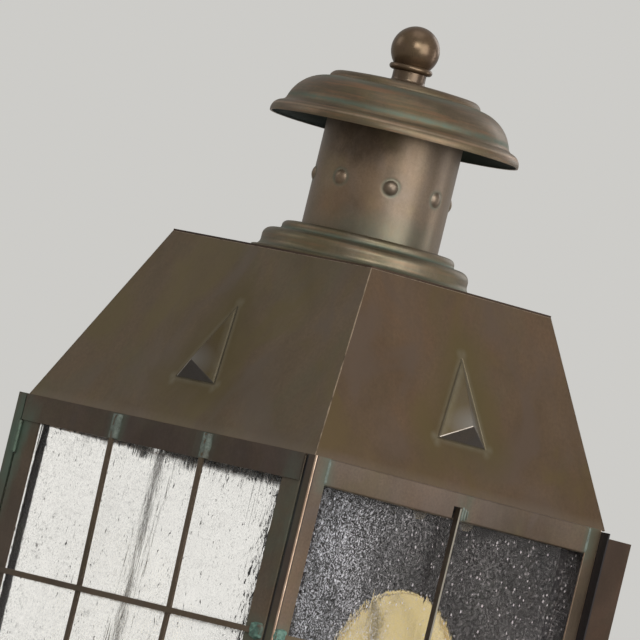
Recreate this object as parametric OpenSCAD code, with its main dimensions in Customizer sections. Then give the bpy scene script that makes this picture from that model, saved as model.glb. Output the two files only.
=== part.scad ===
// Copper wall lantern with a hipped roof, a capped round chimney and a glazed front door.
// X runs across the wall, Y = 0 is the wall and -Y is the front, Z = 0 is the wall fixing.

/* [Body] */
// Width over the corner posts
body_w = 260; // [225:1:320]
// Depth from the front face to the back panel
body_d = 203; // [170:1:250]
// Height from the base to the eaves
body_h = 273.5; // [240:0.5:340]
// Rows of panes on each face
pane_rows = 3; // [2:1:4]
// Height of the top and bottom rails
rail_h = 14.5; // [12:0.5:22]
// Thickness of the copper sheet
sheet_t = 1; // [0.8:0.1:1.4]
// Width of the front posts seen from the side
post_side_w = 10; // [9:0.5:14]
// Width of the rear posts seen from the side
rear_side_w = 8.5; // [7:0.5:13]
// Width of the front posts seen from the front
post_front_w = 6.7; // [6:0.1:9]
// Width of the rails' flanges that carry the roof and the base
flange_w = 17; // [15:0.5:24]

/* [Glass] */
// Thickness of the glass
glass_t = 3; // [2:0.5:4]
// Distance from the side's outer face to the glass
glass_set = 7; // [5:0.5:8]
// Diameter of the clear pads under the side's top rail
pad_d = 8.4; // [5:0.2:10]
// Distance between the two pads of one side
pad_pitch = 33; // [20:1:60]
// Width of the strips that hold the side glass from inside
keeper_w = 5; // [3:0.5:8]

/* [Glazing bars] */
// Width of the flat bars
bar_w = 3.1; // [2:0.1:5]
// Thickness of the flat bars
bar_t = 1.5; // [1:0.1:2]
// Distance between the door's two upright bars
bar_pitch = 79; // [60:1:100]
// Thickness of the side's upright bar, which stands on edge
edge_bar_t = 1.3; // [0.8:0.1:1.6]
// Depth of the side's upright bar
edge_bar_d = 3.8; // [3:0.1:5]
// Distance of the side's upright bar behind the middle of the side
edge_bar_back = 2.5; // [-10:0.5:10]

/* [Door] */
// Gap between the door and the posts
door_gap = 2; // [1.6:0.1:3]
// Width of the door's stiles
stile_w = 14.9; // [12:0.1:20]
// Depth of the door's folded edge
door_return = 6.5; // [6:0.5:7]
// Length of one hinge
hinge_l = 16.5; // [12:0.5:30]
// Outer diameter of the hinge barrel
hinge_d = 3.4; // [3:0.1:4]
// Diameter of the hinge pin
hinge_pin_d = 1.6; // [1.2:0.1:2]
// Length of the turn button
button_l = 26; // [20:1:36]
// Width of the turn button
button_w = 6.4; // [5:0.2:7]

/* [Roof] */
// How far the eaves are set in from the corner posts, on each side
roof_side_in = 5; // [1:0.5:12]
// How far the front eave is set in from the front face
roof_front_in = 3; // [1:0.5:8]
// Height of the sloping roof
roof_h = 104; // [70:1:140]
// How far each roof side leans in
roof_inset = 38.9; // [30:0.1:44]
// How far the roof reaches behind the back panel's face
roof_over_back = 6; // [0:0.5:8]
// Width of one pressed triangle on the roof
tri_w = 33; // [20:1:45]
// Height of one pressed triangle along the slope
tri_h = 46.4; // [30:0.2:60]
// How far a pressed triangle stands out
tri_out = 9.5; // [5:0.5:14]
// Height of the pressed triangles above the eaves along the slope
tri_up = 27.7; // [15:0.1:35]

/* [Chimney and cap] */
// Outer diameter of the chimney
chimney_d = 75.2; // [60:0.2:84]
// Height of the chimney above the roof
chimney_h = 91; // [70:1:130]
// Height of the stepped collar
collar_h = 17.6; // [16:0.1:22]
// How much wider than the chimney the collar is, on each side
collar_out = 23.9; // [20:0.1:24]
// How much wider than the chimney the cap is, on each side
cap_out = 31.1; // [28:0.1:40]
// Height of the cap from brim to top
cap_h = 30.7; // [28:0.1:40]
// Radius of the cap's turned-down brim
cap_lip_r = 6; // [4:0.1:7]
// Radius of the hollow between the cap's dome and brim
cap_cove_r = 4; // [2.5:0.1:6]
// Clear height between the chimney and the inside of the cap
cap_air = 12; // [8:0.5:20]
// Number of bosses round the chimney
boss_n = 8; // [4:1:12]
// Diameter of one boss
boss_d = 7.5; // [4:0.1:10]
// Angle of the first boss from the front
boss_turn = 12.9; // [0:0.1:45]
// Diameter of the ball on top
ball_d = 26.4; // [18:0.2:36]
// Diameter of the rod that holds the ball and the cap
rod_d = 6; // [4:0.5:7]

/* [Wall fixing] */
// Depth of the wall pan
pan_d = 18.5; // [16:0.5:40]
// How much wider than the body the back panel is, on each side
panel_out = 5.7; // [3:0.1:12]
// How far the pan is set in from the back panel's edge
pan_in = 2.7; // [1:0.1:6]
// Length of the wall strap
strap_l = 200; // [180:1:215]
// Width of the wall strap
strap_w = 25; // [18:1:40]
// Thickness of the wall strap
strap_t = 2.5; // [2:0.5:4]
// Distance between the two wall screw holes
wall_hole_pitch = 120; // [60:1:140]
// Diameter of the wall screw holes
wall_hole_d = 5.5; // [4:0.1:7]
// Distance between the two studs
stud_pitch = 170; // [156:1:175]
// Diameter of the studs
stud_d = 5; // [4:0.5:6]
// Diameter of the cable hole in the grommet
cable_d = 8; // [6:0.5:12]
// Height of the cable hole below the wall screws
cable_drop = 60; // [50:1:80]

/* [Lamp] */
// Diameter of the reflector
reflector_d = 112; // [80:1:130]
// Depth of the reflector's dish
reflector_depth = 10.5; // [6:0.5:18]
// Depth of the reflector's middle below the eaves
reflector_drop = 110; // [90:1:120]
// Outer diameter of the lamp stem
stem_d = 10; // [8:0.5:12]
// Length of the lamp stem
stem_l = 44; // [40:1:80]
// Diameter of the lamp holder
holder_d = 28; // [24:0.5:34]
// Height of the lamp holder
holder_h = 52; // [44:1:64]
// Diameter of the candle lamp
bulb_d = 35; // [30:0.5:38]
// Height of the candle lamp's glass
bulb_h = 72; // [56:1:80]

/* [Hidden] */
$fn = 96;

// Clearance for pieces that lie against each other without touching
rest_gap = 0.1;
// Running clearance round a pin, on the radius
run_gap = 0.05;
// Clearance between pieces that pass each other as they move
pass_gap = 0.3;
// Overshoot of a cutting solid
cut = 1;

// Heights
pane_h = (body_h - 2*rail_h)/pane_rows;
eave_z = body_h/2;
base_z = -body_h/2;

// Depths
rear_y = -pan_d - sheet_t;
front_y = rear_y - body_d;
mid_y = (front_y + rear_y)/2;
roof_w = body_w - 2*roof_side_in;
roof_d = body_d + roof_over_back - roof_front_in;
roof_y = rear_y + roof_over_back - roof_d/2;

// Half widths
half_w = body_w/2;
door_half = half_w - post_front_w - door_gap;
glass_x = half_w - glass_set;
glass_in_x = glass_x - glass_t;

// Roof slope
slope_l = sqrt(roof_h*roof_h + roof_inset*roof_inset);
slope_a = atan2(roof_h, roof_inset);
sheet_run = sheet_t/sin(slope_a);
roof_top_z = eave_z + roof_h;

// Chimney and cap
chimney_r = chimney_d/2;
bore_r = chimney_r - sheet_t;
plate_z = roof_top_z + sheet_t;
collar_r = chimney_r + collar_out;
cap_r = chimney_r + cap_out;
chimney_top = plate_z + chimney_h;
cap_top = chimney_top + cap_air + sheet_t;
cap_crown = cap_h*0.05;
rod_r = rod_d/2;
boss_z = plate_z + chimney_h*0.503;

// Hinge
leaf_t = 0.8;
leaf_y = front_y + sheet_t;
hinge_x = -door_half - door_gap/2;
hinge_y = front_y - 0.5;
hinge_r = hinge_d/2;
hinge_top = eave_z - rail_h - 1;
knuckle_gap = 0.2;
knuckle_l = (hinge_l - 2*knuckle_gap)/3;
hinge_zs = [hinge_top - hinge_l, -hinge_top];

// Glass of the door, behind the hinge leaves
door_glass_y = leaf_y + leaf_t + rest_gap;

// Turn button
button_x = half_w - post_front_w/2;
button_t = 1.5;
button_pin_r = 1.5;

// Lamp
lamp_y = mid_y;
floor_z = base_z + 2*sheet_t;
nut_t = 4;
stem_low = base_z + sheet_t - nut_t - 3;
holder_z = stem_low + stem_l;
holder_top = holder_z + holder_h;
lamp_cap_h = 24;
lamp_cap_r = 6.9;
glass_low = holder_top + 1;

copper = [0.37, 0.29, 0.23];
dark_copper = [0.27, 0.2, 0.16];
brass = [0.8, 0.72, 0.5];
steel = [0.6, 0.6, 0.6];
clear = [0.85, 0.88, 0.86, 0.35];

// Points along an arc in the plane, from angle a0 to angle a1
function arc(cx, cy, r, a0, a1, n) =
    [for (i = [0:n]) let (a = a0 + (a1 - a0)*i/n) [cx + r*cos(a), cy + r*sin(a)]];

function flip(points) = [for (i = [len(points) - 1:-1:0]) points[i]];

// A box given by two opposite corners
module span(low, high) {
    translate(low) cube(high - low);
}

// The same piece on the right and, mirrored, on the left
module both_sides() {
    children();
    mirror([1, 0, 0]) children();
}

// A solid of revolution whose axis runs along Y, pointing to the front
module revolve_to_front() {
    rotate([90, 0, 0]) rotate_extrude() children();
}

module hex_nut(across, bore, thick) {
    difference() {
        cylinder(d = across/cos(30), h = thick, $fn = 6);
        translate([0, 0, -cut]) cylinder(r = bore, h = thick + 2*cut);
    }
}

// WALL FIXING

module wall_strap() color(steel) {
    difference() {
        translate([0, -strap_t/2, 0]) cube([strap_l, strap_t, strap_w], center = true);
        for (x = [-wall_hole_pitch/2, wall_hole_pitch/2])
            translate([x, cut, 0]) rotate([90, 0, 0]) cylinder(d = wall_hole_d, h = strap_t + 2*cut);
        for (x = [-stud_pitch/2, stud_pitch/2])
            translate([x, cut, 0]) rotate([90, 0, 0]) cylinder(d = stud_d, h = strap_t + 2*cut);
    }
}

stud_end = 8;

module strap_studs() color(steel) {
    for (x = [-stud_pitch/2, stud_pitch/2])
        translate([x, 0, 0]) rotate([90, 0, 0]) cylinder(d = stud_d, h = stud_end - rear_y);
}

module stud_cap_nuts() color(brass) {
    washer_t = 1;
    nut_r = stud_d*0.95;
    for (x = [-stud_pitch/2, stud_pitch/2]) translate([x, rear_y, 0])
        difference() {
            revolve_to_front() polygon(concat(
                [[0, 0], [nut_r*1.5, 0], [nut_r*1.5, washer_t], [nut_r, washer_t]],
                arc(0, stud_end, nut_r, 0, 90, 8)));
            translate([0, cut, 0]) rotate([90, 0, 0]) cylinder(d = stud_d, h = stud_end + cut);
        }
}

pan_half = half_w + panel_out - pan_in;
pan_top = eave_z - sheet_t - pan_in;

module wall_pan() color(dark_copper) {
    lip = 9;
    difference() {
        span([-pan_half, -pan_d, -pan_top], [pan_half, 0, pan_top]);
        span([-pan_half + sheet_t, -pan_d + sheet_t, -pan_top + sheet_t],
             [pan_half - sheet_t, cut, pan_top - sheet_t]);
        span([-pan_half + lip, -pan_d - cut, -pan_top + lip], [pan_half - lip, 0, pan_top - lip]);
    }
}

cable_z = -cable_drop;
block_drop = 32;
grommet_r = cable_d/2 + 3;

module back_panel() color(copper) {
    panel_half = half_w + panel_out;
    difference() {
        span([-panel_half, rear_y, base_z + sheet_t], [panel_half, rear_y + sheet_t, eave_z - sheet_t]);
        for (x = [-stud_pitch/2, stud_pitch/2])
            translate([x, rear_y - cut, 0]) rotate([-90, 0, 0])
                cylinder(d = stud_d + 2*rest_gap, h = sheet_t + 2*cut);
        translate([0, rear_y - cut, cable_z]) rotate([-90, 0, 0])
            cylinder(r = grommet_r, h = sheet_t + 2*cut);
    }
}

module cable_grommet() color([0.1, 0.1, 0.1]) {
    flange = 2.2;
    translate([0, rear_y + sheet_t + flange, cable_z]) revolve_to_front() polygon([
        [cable_d/2, 0], [grommet_r + 1, 0], [grommet_r + flange, flange*0.4],
        [grommet_r + flange, flange], [grommet_r, flange], [grommet_r, flange + sheet_t],
        [grommet_r + flange, flange + sheet_t], [grommet_r + flange, 1.6*flange + sheet_t],
        [grommet_r + 1, 2*flange + sheet_t], [cable_d/2, 2*flange + sheet_t]]);
}

module terminal_block() color([0.9, 0.9, 0.88]) {
    way = 9;
    tall = 17;
    deep = 12;
    foot = 4;
    back = rear_y + sheet_t;
    translate([0, back, cable_z - block_drop]) difference() {
        union() {
            span([-1.5*way, 0, -tall/2], [1.5*way, foot, tall/2]);
            for (i = [-1:1]) translate([i*way, 0, 0])
                span([-way*0.42, 0, -tall/2], [way*0.42, deep, tall/2]);
        }
        for (i = [-1:1]) translate([i*way, 0, 0]) {
            translate([0, foot + 4, -tall]) cylinder(d = 3.6, h = 2*tall);
            for (z = [-tall/4, tall/4]) translate([0, foot + 4, z]) rotate([-90, 0, 0])
                cylinder(d = 3, h = deep);
        }
    }
}

module earth_stud() color(brass) {
    earth_x = 40;
    stud_l = 12;
    translate([earth_x, rear_y + sheet_t, cable_z]) rotate([-90, 0, 0]) {
        cylinder(d = 4, h = stud_l);
        cylinder(r = 4.5, h = 0.8);
        translate([0, 0, 0.8]) cylinder(d = 7/cos(30), h = 3, $fn = 6);
        translate([0, 0, 6]) cylinder(d = 7/cos(30), h = 3, $fn = 6);
    }
}

// CORNER POSTS, folded from sheet to an L

module post(side_w, face_w, outer_y, inward) {
    y1 = outer_y + inward*side_w;
    y2 = outer_y + inward*sheet_t;
    translate([0, 0, base_z]) linear_extrude(body_h) polygon([
        [half_w, outer_y], [half_w, y1], [half_w - sheet_t, y1], [half_w - sheet_t, y2],
        [half_w - face_w, y2], [half_w - face_w, outer_y]]);
}

module front_left_post() color(copper) {
    difference() {
        mirror([1, 0, 0]) post(post_side_w, post_front_w, front_y, 1);
        hinge_room();
    }
}

module front_right_post() color(copper) {
    difference() {
        post(post_side_w, post_front_w, front_y, 1);
        translate([button_x, front_y - cut, 0]) rotate([-90, 0, 0])
            cylinder(r = button_pin_r, h = 3*cut);
    }
}

module rear_right_post() color(copper) post(rear_side_w, rear_side_w, rear_y, -1);

module rear_left_post() color(copper) mirror([1, 0, 0]) rear_right_post();

// RAILS: the fixed front rails behind the door, and the side rails between the posts

stop_y = front_y + door_return + 1.2;
head_back = front_y + post_side_w;

// Front rail in the top position: a flange under the roof, and a stop that the door closes on
module front_rail() {
    stop_h = rail_h*0.8;
    half = half_w - sheet_t;
    span([-half, front_y + sheet_t + pass_gap, eave_z - sheet_t], [half, head_back, eave_z]);
    span([-door_half, stop_y, eave_z - stop_h], [door_half, stop_y + sheet_t, eave_z]);
}

module front_head_rail() color(copper) front_rail();

module front_sill_rail() color(copper) mirror([0, 0, 1]) front_rail();

side_from = front_y + post_side_w;
side_to = rear_y - rear_side_w;
edge_bar_y = mid_y + edge_bar_back;
notch_w = 5.8;
notch_h = 7;

// Right side rail in the top position: face, flange above, small return below
module side_rail() {
    low = eave_z - rail_h;
    difference() {
        translate([0, side_to, 0]) rotate([90, 0, 0]) linear_extrude(side_to - side_from) polygon([
            [half_w, eave_z], [half_w - flange_w, eave_z], [half_w - flange_w, eave_z - sheet_t],
            [half_w - sheet_t, eave_z - sheet_t], [half_w - sheet_t, low + sheet_t],
            [glass_x + rest_gap, low + sheet_t], [glass_x + rest_gap, low], [half_w, low]]);
        span([glass_x, edge_bar_y + edge_bar_t/2 - notch_w, low - cut],
             [half_w + cut, edge_bar_y + edge_bar_t/2, low + notch_h]);
    }
}

module right_top_rail() color(copper) side_rail();

module left_top_rail() color(copper) mirror([1, 0, 0]) side_rail();

module right_bottom_rail() color(copper) mirror([0, 0, 1]) side_rail();

module left_bottom_rail() color(copper) mirror([1, 0, 0]) mirror([0, 0, 1]) side_rail();

// SIDE GLASS and what holds it

glass_from = side_from - 0.8;
glass_to = rear_y - sheet_t - pass_gap;
glass_top = eave_z - 3*sheet_t;

module right_glass() color(clear)
    span([glass_in_x, glass_from, base_z + sheet_t], [glass_x, glass_to, glass_top]);

module left_glass() color(clear) mirror([1, 0, 0]) right_glass();

// Upright strips inside the glass, between the flanges of the rails
module glass_keepers() color(dark_copper) {
    inner = glass_in_x - sheet_t;
    in_from_post = 4;
    both_sides() for (y = [side_from + in_from_post, side_to - in_from_post - keeper_w])
        span([inner, y, base_z + sheet_t], [glass_in_x, y + keeper_w, eave_z - sheet_t]);
}

// Clear round pads that steady the top of the side glass
module glass_pads() color(clear) {
    pad_t = 1.6;
    both_sides() for (y = [-pad_pitch/2, pad_pitch/2])
        translate([glass_in_x - pad_t, mid_y + y, eave_z - rail_h]) rotate([0, 90, 0])
            cylinder(d = pad_d, h = pad_t);
}

module side_upright_bars() color(copper) {
    bar_top = eave_z - rail_h + notch_h - pass_gap;
    both_sides() span([half_w - edge_bar_d, edge_bar_y - edge_bar_t/2, -bar_top],
                      [half_w, edge_bar_y + edge_bar_t/2, bar_top]);
}

function row_z(i) = eave_z - rail_h - i*pane_h;

module side_cross_bars() color(copper) {
    both_sides() for (i = [1:pane_rows - 1]) translate([0, 0, row_z(i) - bar_w/2])
        span([half_w, front_y + 1, 0], [half_w + bar_t, rear_y - 1, bar_w]);
}

// BASE

module base_plate() color(dark_copper) {
    half = glass_in_x - sheet_t - pass_gap;
    low_y = stop_y + sheet_t;
    high_y = rear_y - sheet_t - rest_gap;
    drain_in = 20;
    difference() {
        span([-half, low_y, base_z + sheet_t], [half, high_y, floor_z]);
        translate([0, lamp_y, base_z]) cylinder(d = stem_d + 2*rest_gap, h = 3*sheet_t);
        for (x = [-half + drain_in, half - drain_in], y = [low_y + drain_in, high_y - drain_in])
            translate([x, y, base_z]) cylinder(d = 6, h = 3*sheet_t);
    }
}

// ROOF: four mitred sheets, three of them with a triangle pressed out of the sheet

// A sheet in its own plane: x along the eave, y up the slope, z outwards
module roof_sheet(w) {
    wt = w/2 - roof_inset;
    v = sheet_run*cos(slope_a);
    outer = [[-w/2, 0, 0], [w/2, 0, 0], [wt, slope_l, 0], [-wt, slope_l, 0]];
    s = sheet_run;
    inner = [[-w/2 + s, v, -sheet_t], [w/2 - s, v, -sheet_t],
             [wt - s, slope_l + v, -sheet_t], [-wt + s, slope_l + v, -sheet_t]];
    polyhedron(concat(outer, inner), [
        [3, 2, 1, 0], [4, 5, 6, 7], [0, 1, 5, 4], [1, 2, 6, 5], [2, 3, 7, 6], [3, 0, 4, 7]]);
}

// Three-sided point on the sheet: an apex, two lower corners and a peak that stands out
module pressed_point() {
    base = -sheet_t/2;
    peak_up = tri_h*0.155;
    polyhedron([[0, tri_up + tri_h, base], [-tri_w/2, tri_up, base], [tri_w/2, tri_up, base],
                [0, tri_up + peak_up, tri_out]],
               [[0, 1, 2], [0, 3, 1], [0, 2, 3], [1, 3, 2]]);
}

module roof_panel(w, pressed) {
    difference() {
        union() {
            roof_sheet(w);
            if (pressed) pressed_point();
        }
        // the same point moved inwards: all three faces keep about the sheet's thickness
        if (pressed) translate([0, 0.4*sheet_t, -1.3*sheet_t]) pressed_point();
    }
}

// Stands a panel's plane on the front eave
module on_front_eave() {
    translate([0, roof_y - roof_d/2, eave_z]) rotate([slope_a, 0, 0]) children();
}

// Stands a panel's plane on the right eave
module on_right_eave() {
    translate([roof_w/2, roof_y, eave_z]) rotate([0, 0, 90]) rotate([slope_a, 0, 0]) children();
}

module roof_front_panel() color(copper) on_front_eave() roof_panel(roof_w, true);

module roof_rear_panel() color(copper)
    translate([0, 2*roof_y, 0]) mirror([0, 1, 0]) on_front_eave() roof_panel(roof_w, false);

module roof_right_panel() color(copper) on_right_eave() roof_panel(roof_d, true);

module roof_left_panel() color(copper) mirror([1, 0, 0]) roof_right_panel();

module roof_top_plate() color(copper) {
    x = roof_w/2 - roof_inset;
    y = roof_d/2 - roof_inset;
    difference() {
        span([-x, roof_y - y, roof_top_z], [x, roof_y + y, plate_z]);
        translate([0, roof_y, roof_top_z - cut]) cylinder(r = bore_r, h = sheet_t + 2*cut);
    }
}

// CHIMNEY STACK, spun round the middle of the roof

module on_roof() {
    translate([0, roof_y, 0]) children();
}

// Line of the collar's rounds and hollows from the foot up, drawn in by the given amount
function collar_line(t) = let (
    foot_t = 1.5*sheet_t,
    cove_1 = collar_h*0.2,
    cove_2 = collar_h*0.12,
    round_1 = collar_h*0.28,
    round_2 = collar_h*0.17,
    mid = plate_z + collar_h*0.7,
    top = plate_z + collar_h,
    r1 = collar_r - collar_out*0.19,
    r2 = chimney_r + collar_out*0.42
) concat(
    arc(r1 + cove_1, plate_z + foot_t + cove_1, cove_1 + t, 270, 180, 5),
    arc(r1 - round_1, mid - round_1, round_1 - t, 0, 90, 6),
    arc(r2 + cove_2, mid + cove_2, cove_2 + t, 270, 180, 4),
    arc(r2 - round_2, top - round_2, round_2 - t, 0, 90, 6));

module chimney_collar() color(copper) on_roof() rotate_extrude() {
    outer = collar_line(0);
    inner = collar_line(sheet_t);
    sleeve_r = chimney_r + sheet_t;
    difference() {
        polygon(concat([[chimney_r, plate_z], [collar_r, plate_z], [collar_r, outer[0][1]]], outer,
                       [[chimney_r, plate_z + collar_h]]));
        polygon(concat([[inner[0][0], plate_z - cut]], inner,
                       [[sleeve_r, plate_z + collar_h - sheet_t], [sleeve_r, plate_z - cut]]));
    }
}

module chimney() color(copper) on_roof() {
    boss_out = 1.4;
    ball_r = (boss_d*boss_d/4 + boss_out*boss_out)/(2*boss_out);
    first_boss = -90 + boss_turn;
    difference() {
        union() {
            translate([0, 0, plate_z]) cylinder(r = chimney_r, h = chimney_h);
            difference() {
                for (i = [0:boss_n - 1]) rotate([0, 0, first_boss + i*360/boss_n])
                    translate([chimney_r + boss_out - ball_r, 0, boss_z]) sphere(ball_r, $fn = 48);
                translate([0, 0, plate_z]) cylinder(r = chimney_r - sheet_t/2, h = chimney_h);
            }
        }
        translate([0, 0, plate_z - cut]) cylinder(r = bore_r, h = chimney_h + 2*cut);
    }
}

bridge_w = chimney_d*0.19;
bridge_t = 1.5*sheet_t;
bridge_leg = chimney_d*0.24;
bridge_top = cap_top - sheet_t - cap_crown/2;

// Strap across the chimney's mouth that the finial's rod pulls the cap down on
module cap_bridge() color(copper) on_roof() {
    leg_low = chimney_top - bridge_leg;
    shoulder = chimney_top + sheet_t;
    out = bore_r + cut;
    leg_in = bore_r - bridge_t;
    intersection() {
        difference() {
            translate([0, bridge_w/2, 0]) rotate([90, 0, 0]) linear_extrude(bridge_w) polygon([
                [-out, leg_low], [-out, shoulder], [-bridge_w, bridge_top], [bridge_w, bridge_top],
                [out, shoulder], [out, leg_low], [leg_in, leg_low], [leg_in, shoulder - bridge_t/2],
                [bridge_w - 1, bridge_top - bridge_t], [1 - bridge_w, bridge_top - bridge_t],
                [-leg_in, shoulder - bridge_t/2], [-leg_in, leg_low]]);
            translate([0, 0, bridge_top - 2*bridge_t]) cylinder(r = rod_r + rest_gap, h = 3*bridge_t);
        }
        translate([0, 0, leg_low - cut]) cylinder(r = bore_r - run_gap, h = bridge_top - leg_low + 2*cut);
    }
}

// Middle of the hollow arc of radius r that touches two rounds, given by middle and radius, from outside
function hollow_at(p, p_r, q, q_r, r) = let (
    d = norm(q - p),
    along = (pow(p_r + r, 2) - pow(q_r + r, 2) + d*d)/(2*d),
    off = sqrt(pow(p_r + r, 2) - along*along),
    u = (q - p)/d
) p + along*u + off*[-u[1], u[0]];

function angle_to(p, q) = atan2(q[1] - p[1], q[0] - p[0]);

// Line of the cap from near its middle to the brim's lip, drawn in by the given amount
function cap_line(t) = let (
    lip_low = 10,
    low = cap_top - cap_h,
    dome_r = cap_h*0.72,
    dome = [cap_r - cap_h*0.21 - dome_r, low + cap_h*0.107],
    lip = [cap_r - cap_lip_r, low + cap_lip_r*sin(lip_low)],
    cove = hollow_at(dome, dome_r, lip, cap_lip_r, cap_cove_r),
    disc_r = dome[0] + cap_h*0.06,
    step_r = cap_h*0.155
) concat(
    [[disc_r*0.7, cap_top - cap_crown/2 - t]],
    arc(disc_r - step_r, cap_top - cap_crown - step_r, step_r - t, 88, 14, 6),
    arc(dome[0], dome[1], dome_r - t, 82, angle_to(dome, cove), 12),
    arc(cove[0], cove[1], cap_cove_r + t, 180 + angle_to(dome, cove), 180 + angle_to(lip, cove), 5),
    arc(lip[0], lip[1], cap_lip_r - t, angle_to(lip, cove), -lip_low, 8));

module chimney_cap() color(copper) on_roof() difference() {
    rotate_extrude() polygon(concat(
        [[0, cap_top]], cap_line(0), flip(cap_line(sheet_t)), [[0, cap_top - sheet_t]]));
    translate([0, 0, cap_top - 3]) cylinder(r = rod_r + rest_gap, h = 6);
}

finial_neck = 12;

module finial() color(copper) on_roof() translate([0, 0, cap_top]) {
    ball_r = ball_d/2;
    bead_z = finial_neck - 3.8;
    bead_r = 1.7;
    bead_out = ball_r*0.9;
    neck_r = ball_r*0.69;
    flare_r = 2.2;
    ball_z = bead_z + ball_r*0.78;
    difference() {
        union() {
            rotate_extrude() polygon(concat(
                [[0, 0], [neck_r + flare_r*0.5, 0]],
                arc(neck_r + flare_r, flare_r, flare_r, 240, 180, 4),
                [[neck_r, bead_z - bead_r]],
                arc(bead_out - bead_r, bead_z, bead_r, -80, 80, 8),
                [[bead_out - bead_r - 1, bead_z + bead_r], [0, bead_z + bead_r]]));
            translate([0, 0, ball_z]) sphere(ball_r);
        }
        translate([0, 0, -cut]) cylinder(r = rod_r, h = finial_neck + 4 + cut);
        translate([0, 0, -3*cut]) cylinder(r = ball_r, h = 3*cut);
    }
}

rod_drop = 14;

module finial_rod() color(brass) on_roof()
    translate([0, 0, cap_top - rod_drop]) cylinder(r = rod_r, h = rod_drop + finial_neck);

module finial_nut() color(brass) on_roof()
    translate([0, 0, bridge_top - bridge_t - 5]) hex_nut(10, rod_r, 5);

// REFLECTOR on the back panel

reflector_z = eave_z - reflector_drop;

module reflector() color(brass) {
    r = reflector_d/2;
    flat = r*0.3;
    rim = 1.2;
    t = 0.8;
    curve_r = (pow(r - rim - flat, 2) + pow(reflector_depth, 2))/(2*reflector_depth);
    sweep = asin((r - rim - flat)/curve_r);
    down = -90;
    difference() {
        translate([0, rear_y, reflector_z]) revolve_to_front() polygon(concat(
            [[0, 0]],
            arc(flat, curve_r, curve_r, down, down + sweep, 14),
            arc(r - rim, reflector_depth + rim*0.4, rim, 0, 180, 6),
            flip(arc(flat, curve_r, curve_r - t, down, down + sweep, 14)),
            [[0, t]]));
        for (a = [90, 210, 330]) reflector_rivet_at(a) cylinder(r = 1.5, h = 4*cut, center = true);
    }
}

module reflector_rivet_at(a) {
    translate([0, rear_y, reflector_z]) rotate([90, 0, 0]) rotate([0, 0, a])
        translate([reflector_d*0.11, 0, 0]) children();
}

module reflector_rivets() color(brass) {
    for (a = [90, 210, 330]) reflector_rivet_at(a) {
        cylinder(r = 1.5, h = 0.8);
        translate([0, 0, 0.8]) cylinder(r1 = 2.8, r2 = 1.6, h = 1);
    }
}

// LAMP on its stem

module at_lamp(z) {
    translate([0, lamp_y, z]) children();
}

module lamp_stem() color(brass) at_lamp(stem_low) difference() {
    cylinder(d = stem_d, h = stem_l);
    translate([0, 0, -cut]) cylinder(d = stem_d*0.7, h = stem_l + 2*cut);
}

module stem_nuts() color(brass) {
    across = stem_d*1.5;
    at_lamp(base_z + sheet_t - nut_t) hex_nut(across, stem_d/2, nut_t);
    at_lamp(floor_z) hex_nut(across, stem_d/2, nut_t);
}

holder_bore = holder_d/2 - 2;

module lamp_holder() color(brass) at_lamp(holder_z) {
    r = holder_d/2;
    band = 1.2;
    edge = 1.5;
    rotate_extrude() polygon(concat(
        [[stem_d/2, 0], [r*0.62, 0]],
        arc(r*0.62, r*0.4, r*0.4, 270, 360, 6),
        [[r, r*0.75], [r, holder_h*0.5], [r + band, holder_h*0.52], [r + band, holder_h*0.58],
         [r, holder_h*0.6], [r, holder_h - edge]],
        arc(r - edge, holder_h - edge, edge, 0, 90, 4),
        [[holder_bore, holder_h], [holder_bore, holder_h*0.3], [stem_d/2, holder_h*0.3]]));
}

module lamp_holder_insert() color([0.9, 0.88, 0.82]) at_lamp(holder_z + holder_h*0.3) {
    tall = holder_h*0.7 - 2;
    difference() {
        cylinder(r = holder_bore, h = tall);
        translate([0, 0, tall - lamp_cap_h]) cylinder(r = lamp_cap_r + rest_gap, h = lamp_cap_h + cut);
    }
}

module lamp_cap() color(steel) at_lamp(glass_low - lamp_cap_h) {
    thread = 0.5;
    turns = 6;
    pitch = 2.8;
    skirt = 4;
    rotate_extrude() polygon(concat(
        [[0, 0], [3, 0], [lamp_cap_r - 2, 1.4], [lamp_cap_r - thread, 2.4]],
        [for (i = [0:turns - 1], j = [0, 1])
            [lamp_cap_r - (j == 0 ? thread : 0), 2.6 + (i + j/2)*pitch]],
        [[lamp_cap_r - thread, lamp_cap_h - skirt], [lamp_cap_r, lamp_cap_h - skirt + 0.5],
         [lamp_cap_r, lamp_cap_h], [0, lamp_cap_h]]));
}

// Half width of the candle lamp's glass at a share of its height
function candle_r(s) = lamp_cap_r + (bulb_d/2 - lamp_cap_r)*pow(sin(180*pow(s, 0.75)), 0.9)
    - lamp_cap_r*pow(s, 3);

module lamp_glass() color(clear) at_lamp(glass_low) {
    steps = 18;
    wall = 0.8;
    tip = 0.985;
    rotate_extrude() polygon(concat(
        [for (i = [0:steps]) let (s = tip*i/steps) [candle_r(s), s*bulb_h]],
        [[0, bulb_h], [0, bulb_h - 1.5*wall]],
        [for (i = [steps - 1:-1:0]) let (s = tip*i/steps) [max(candle_r(s) - wall, 0.2), s*bulb_h]]));
}

module lamp_filament() color([0.9, 0.7, 0.3]) at_lamp(glass_low) {
    stem_h = bulb_h*0.22;
    strand = bulb_h*0.42;
    cylinder(r1 = lamp_cap_r - 1.2, r2 = 1.6, h = stem_h);
    translate([0, 0, stem_h]) cylinder(r = 0.6, h = strand);
    for (a = [0:90:270]) rotate([0, 0, a]) {
        translate([5, 0, stem_h - 1]) cylinder(r = 0.8, h = strand);
        translate([0.5, -0.3, stem_h - 1]) cube([5, 0.6, 0.6]);
        translate([0.4, -0.3, stem_h + strand - 2]) cube([5, 0.6, 0.6]);
    }
}

// HINGES on the left, in the gap between post and door

hinge_head = 0.6;

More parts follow.
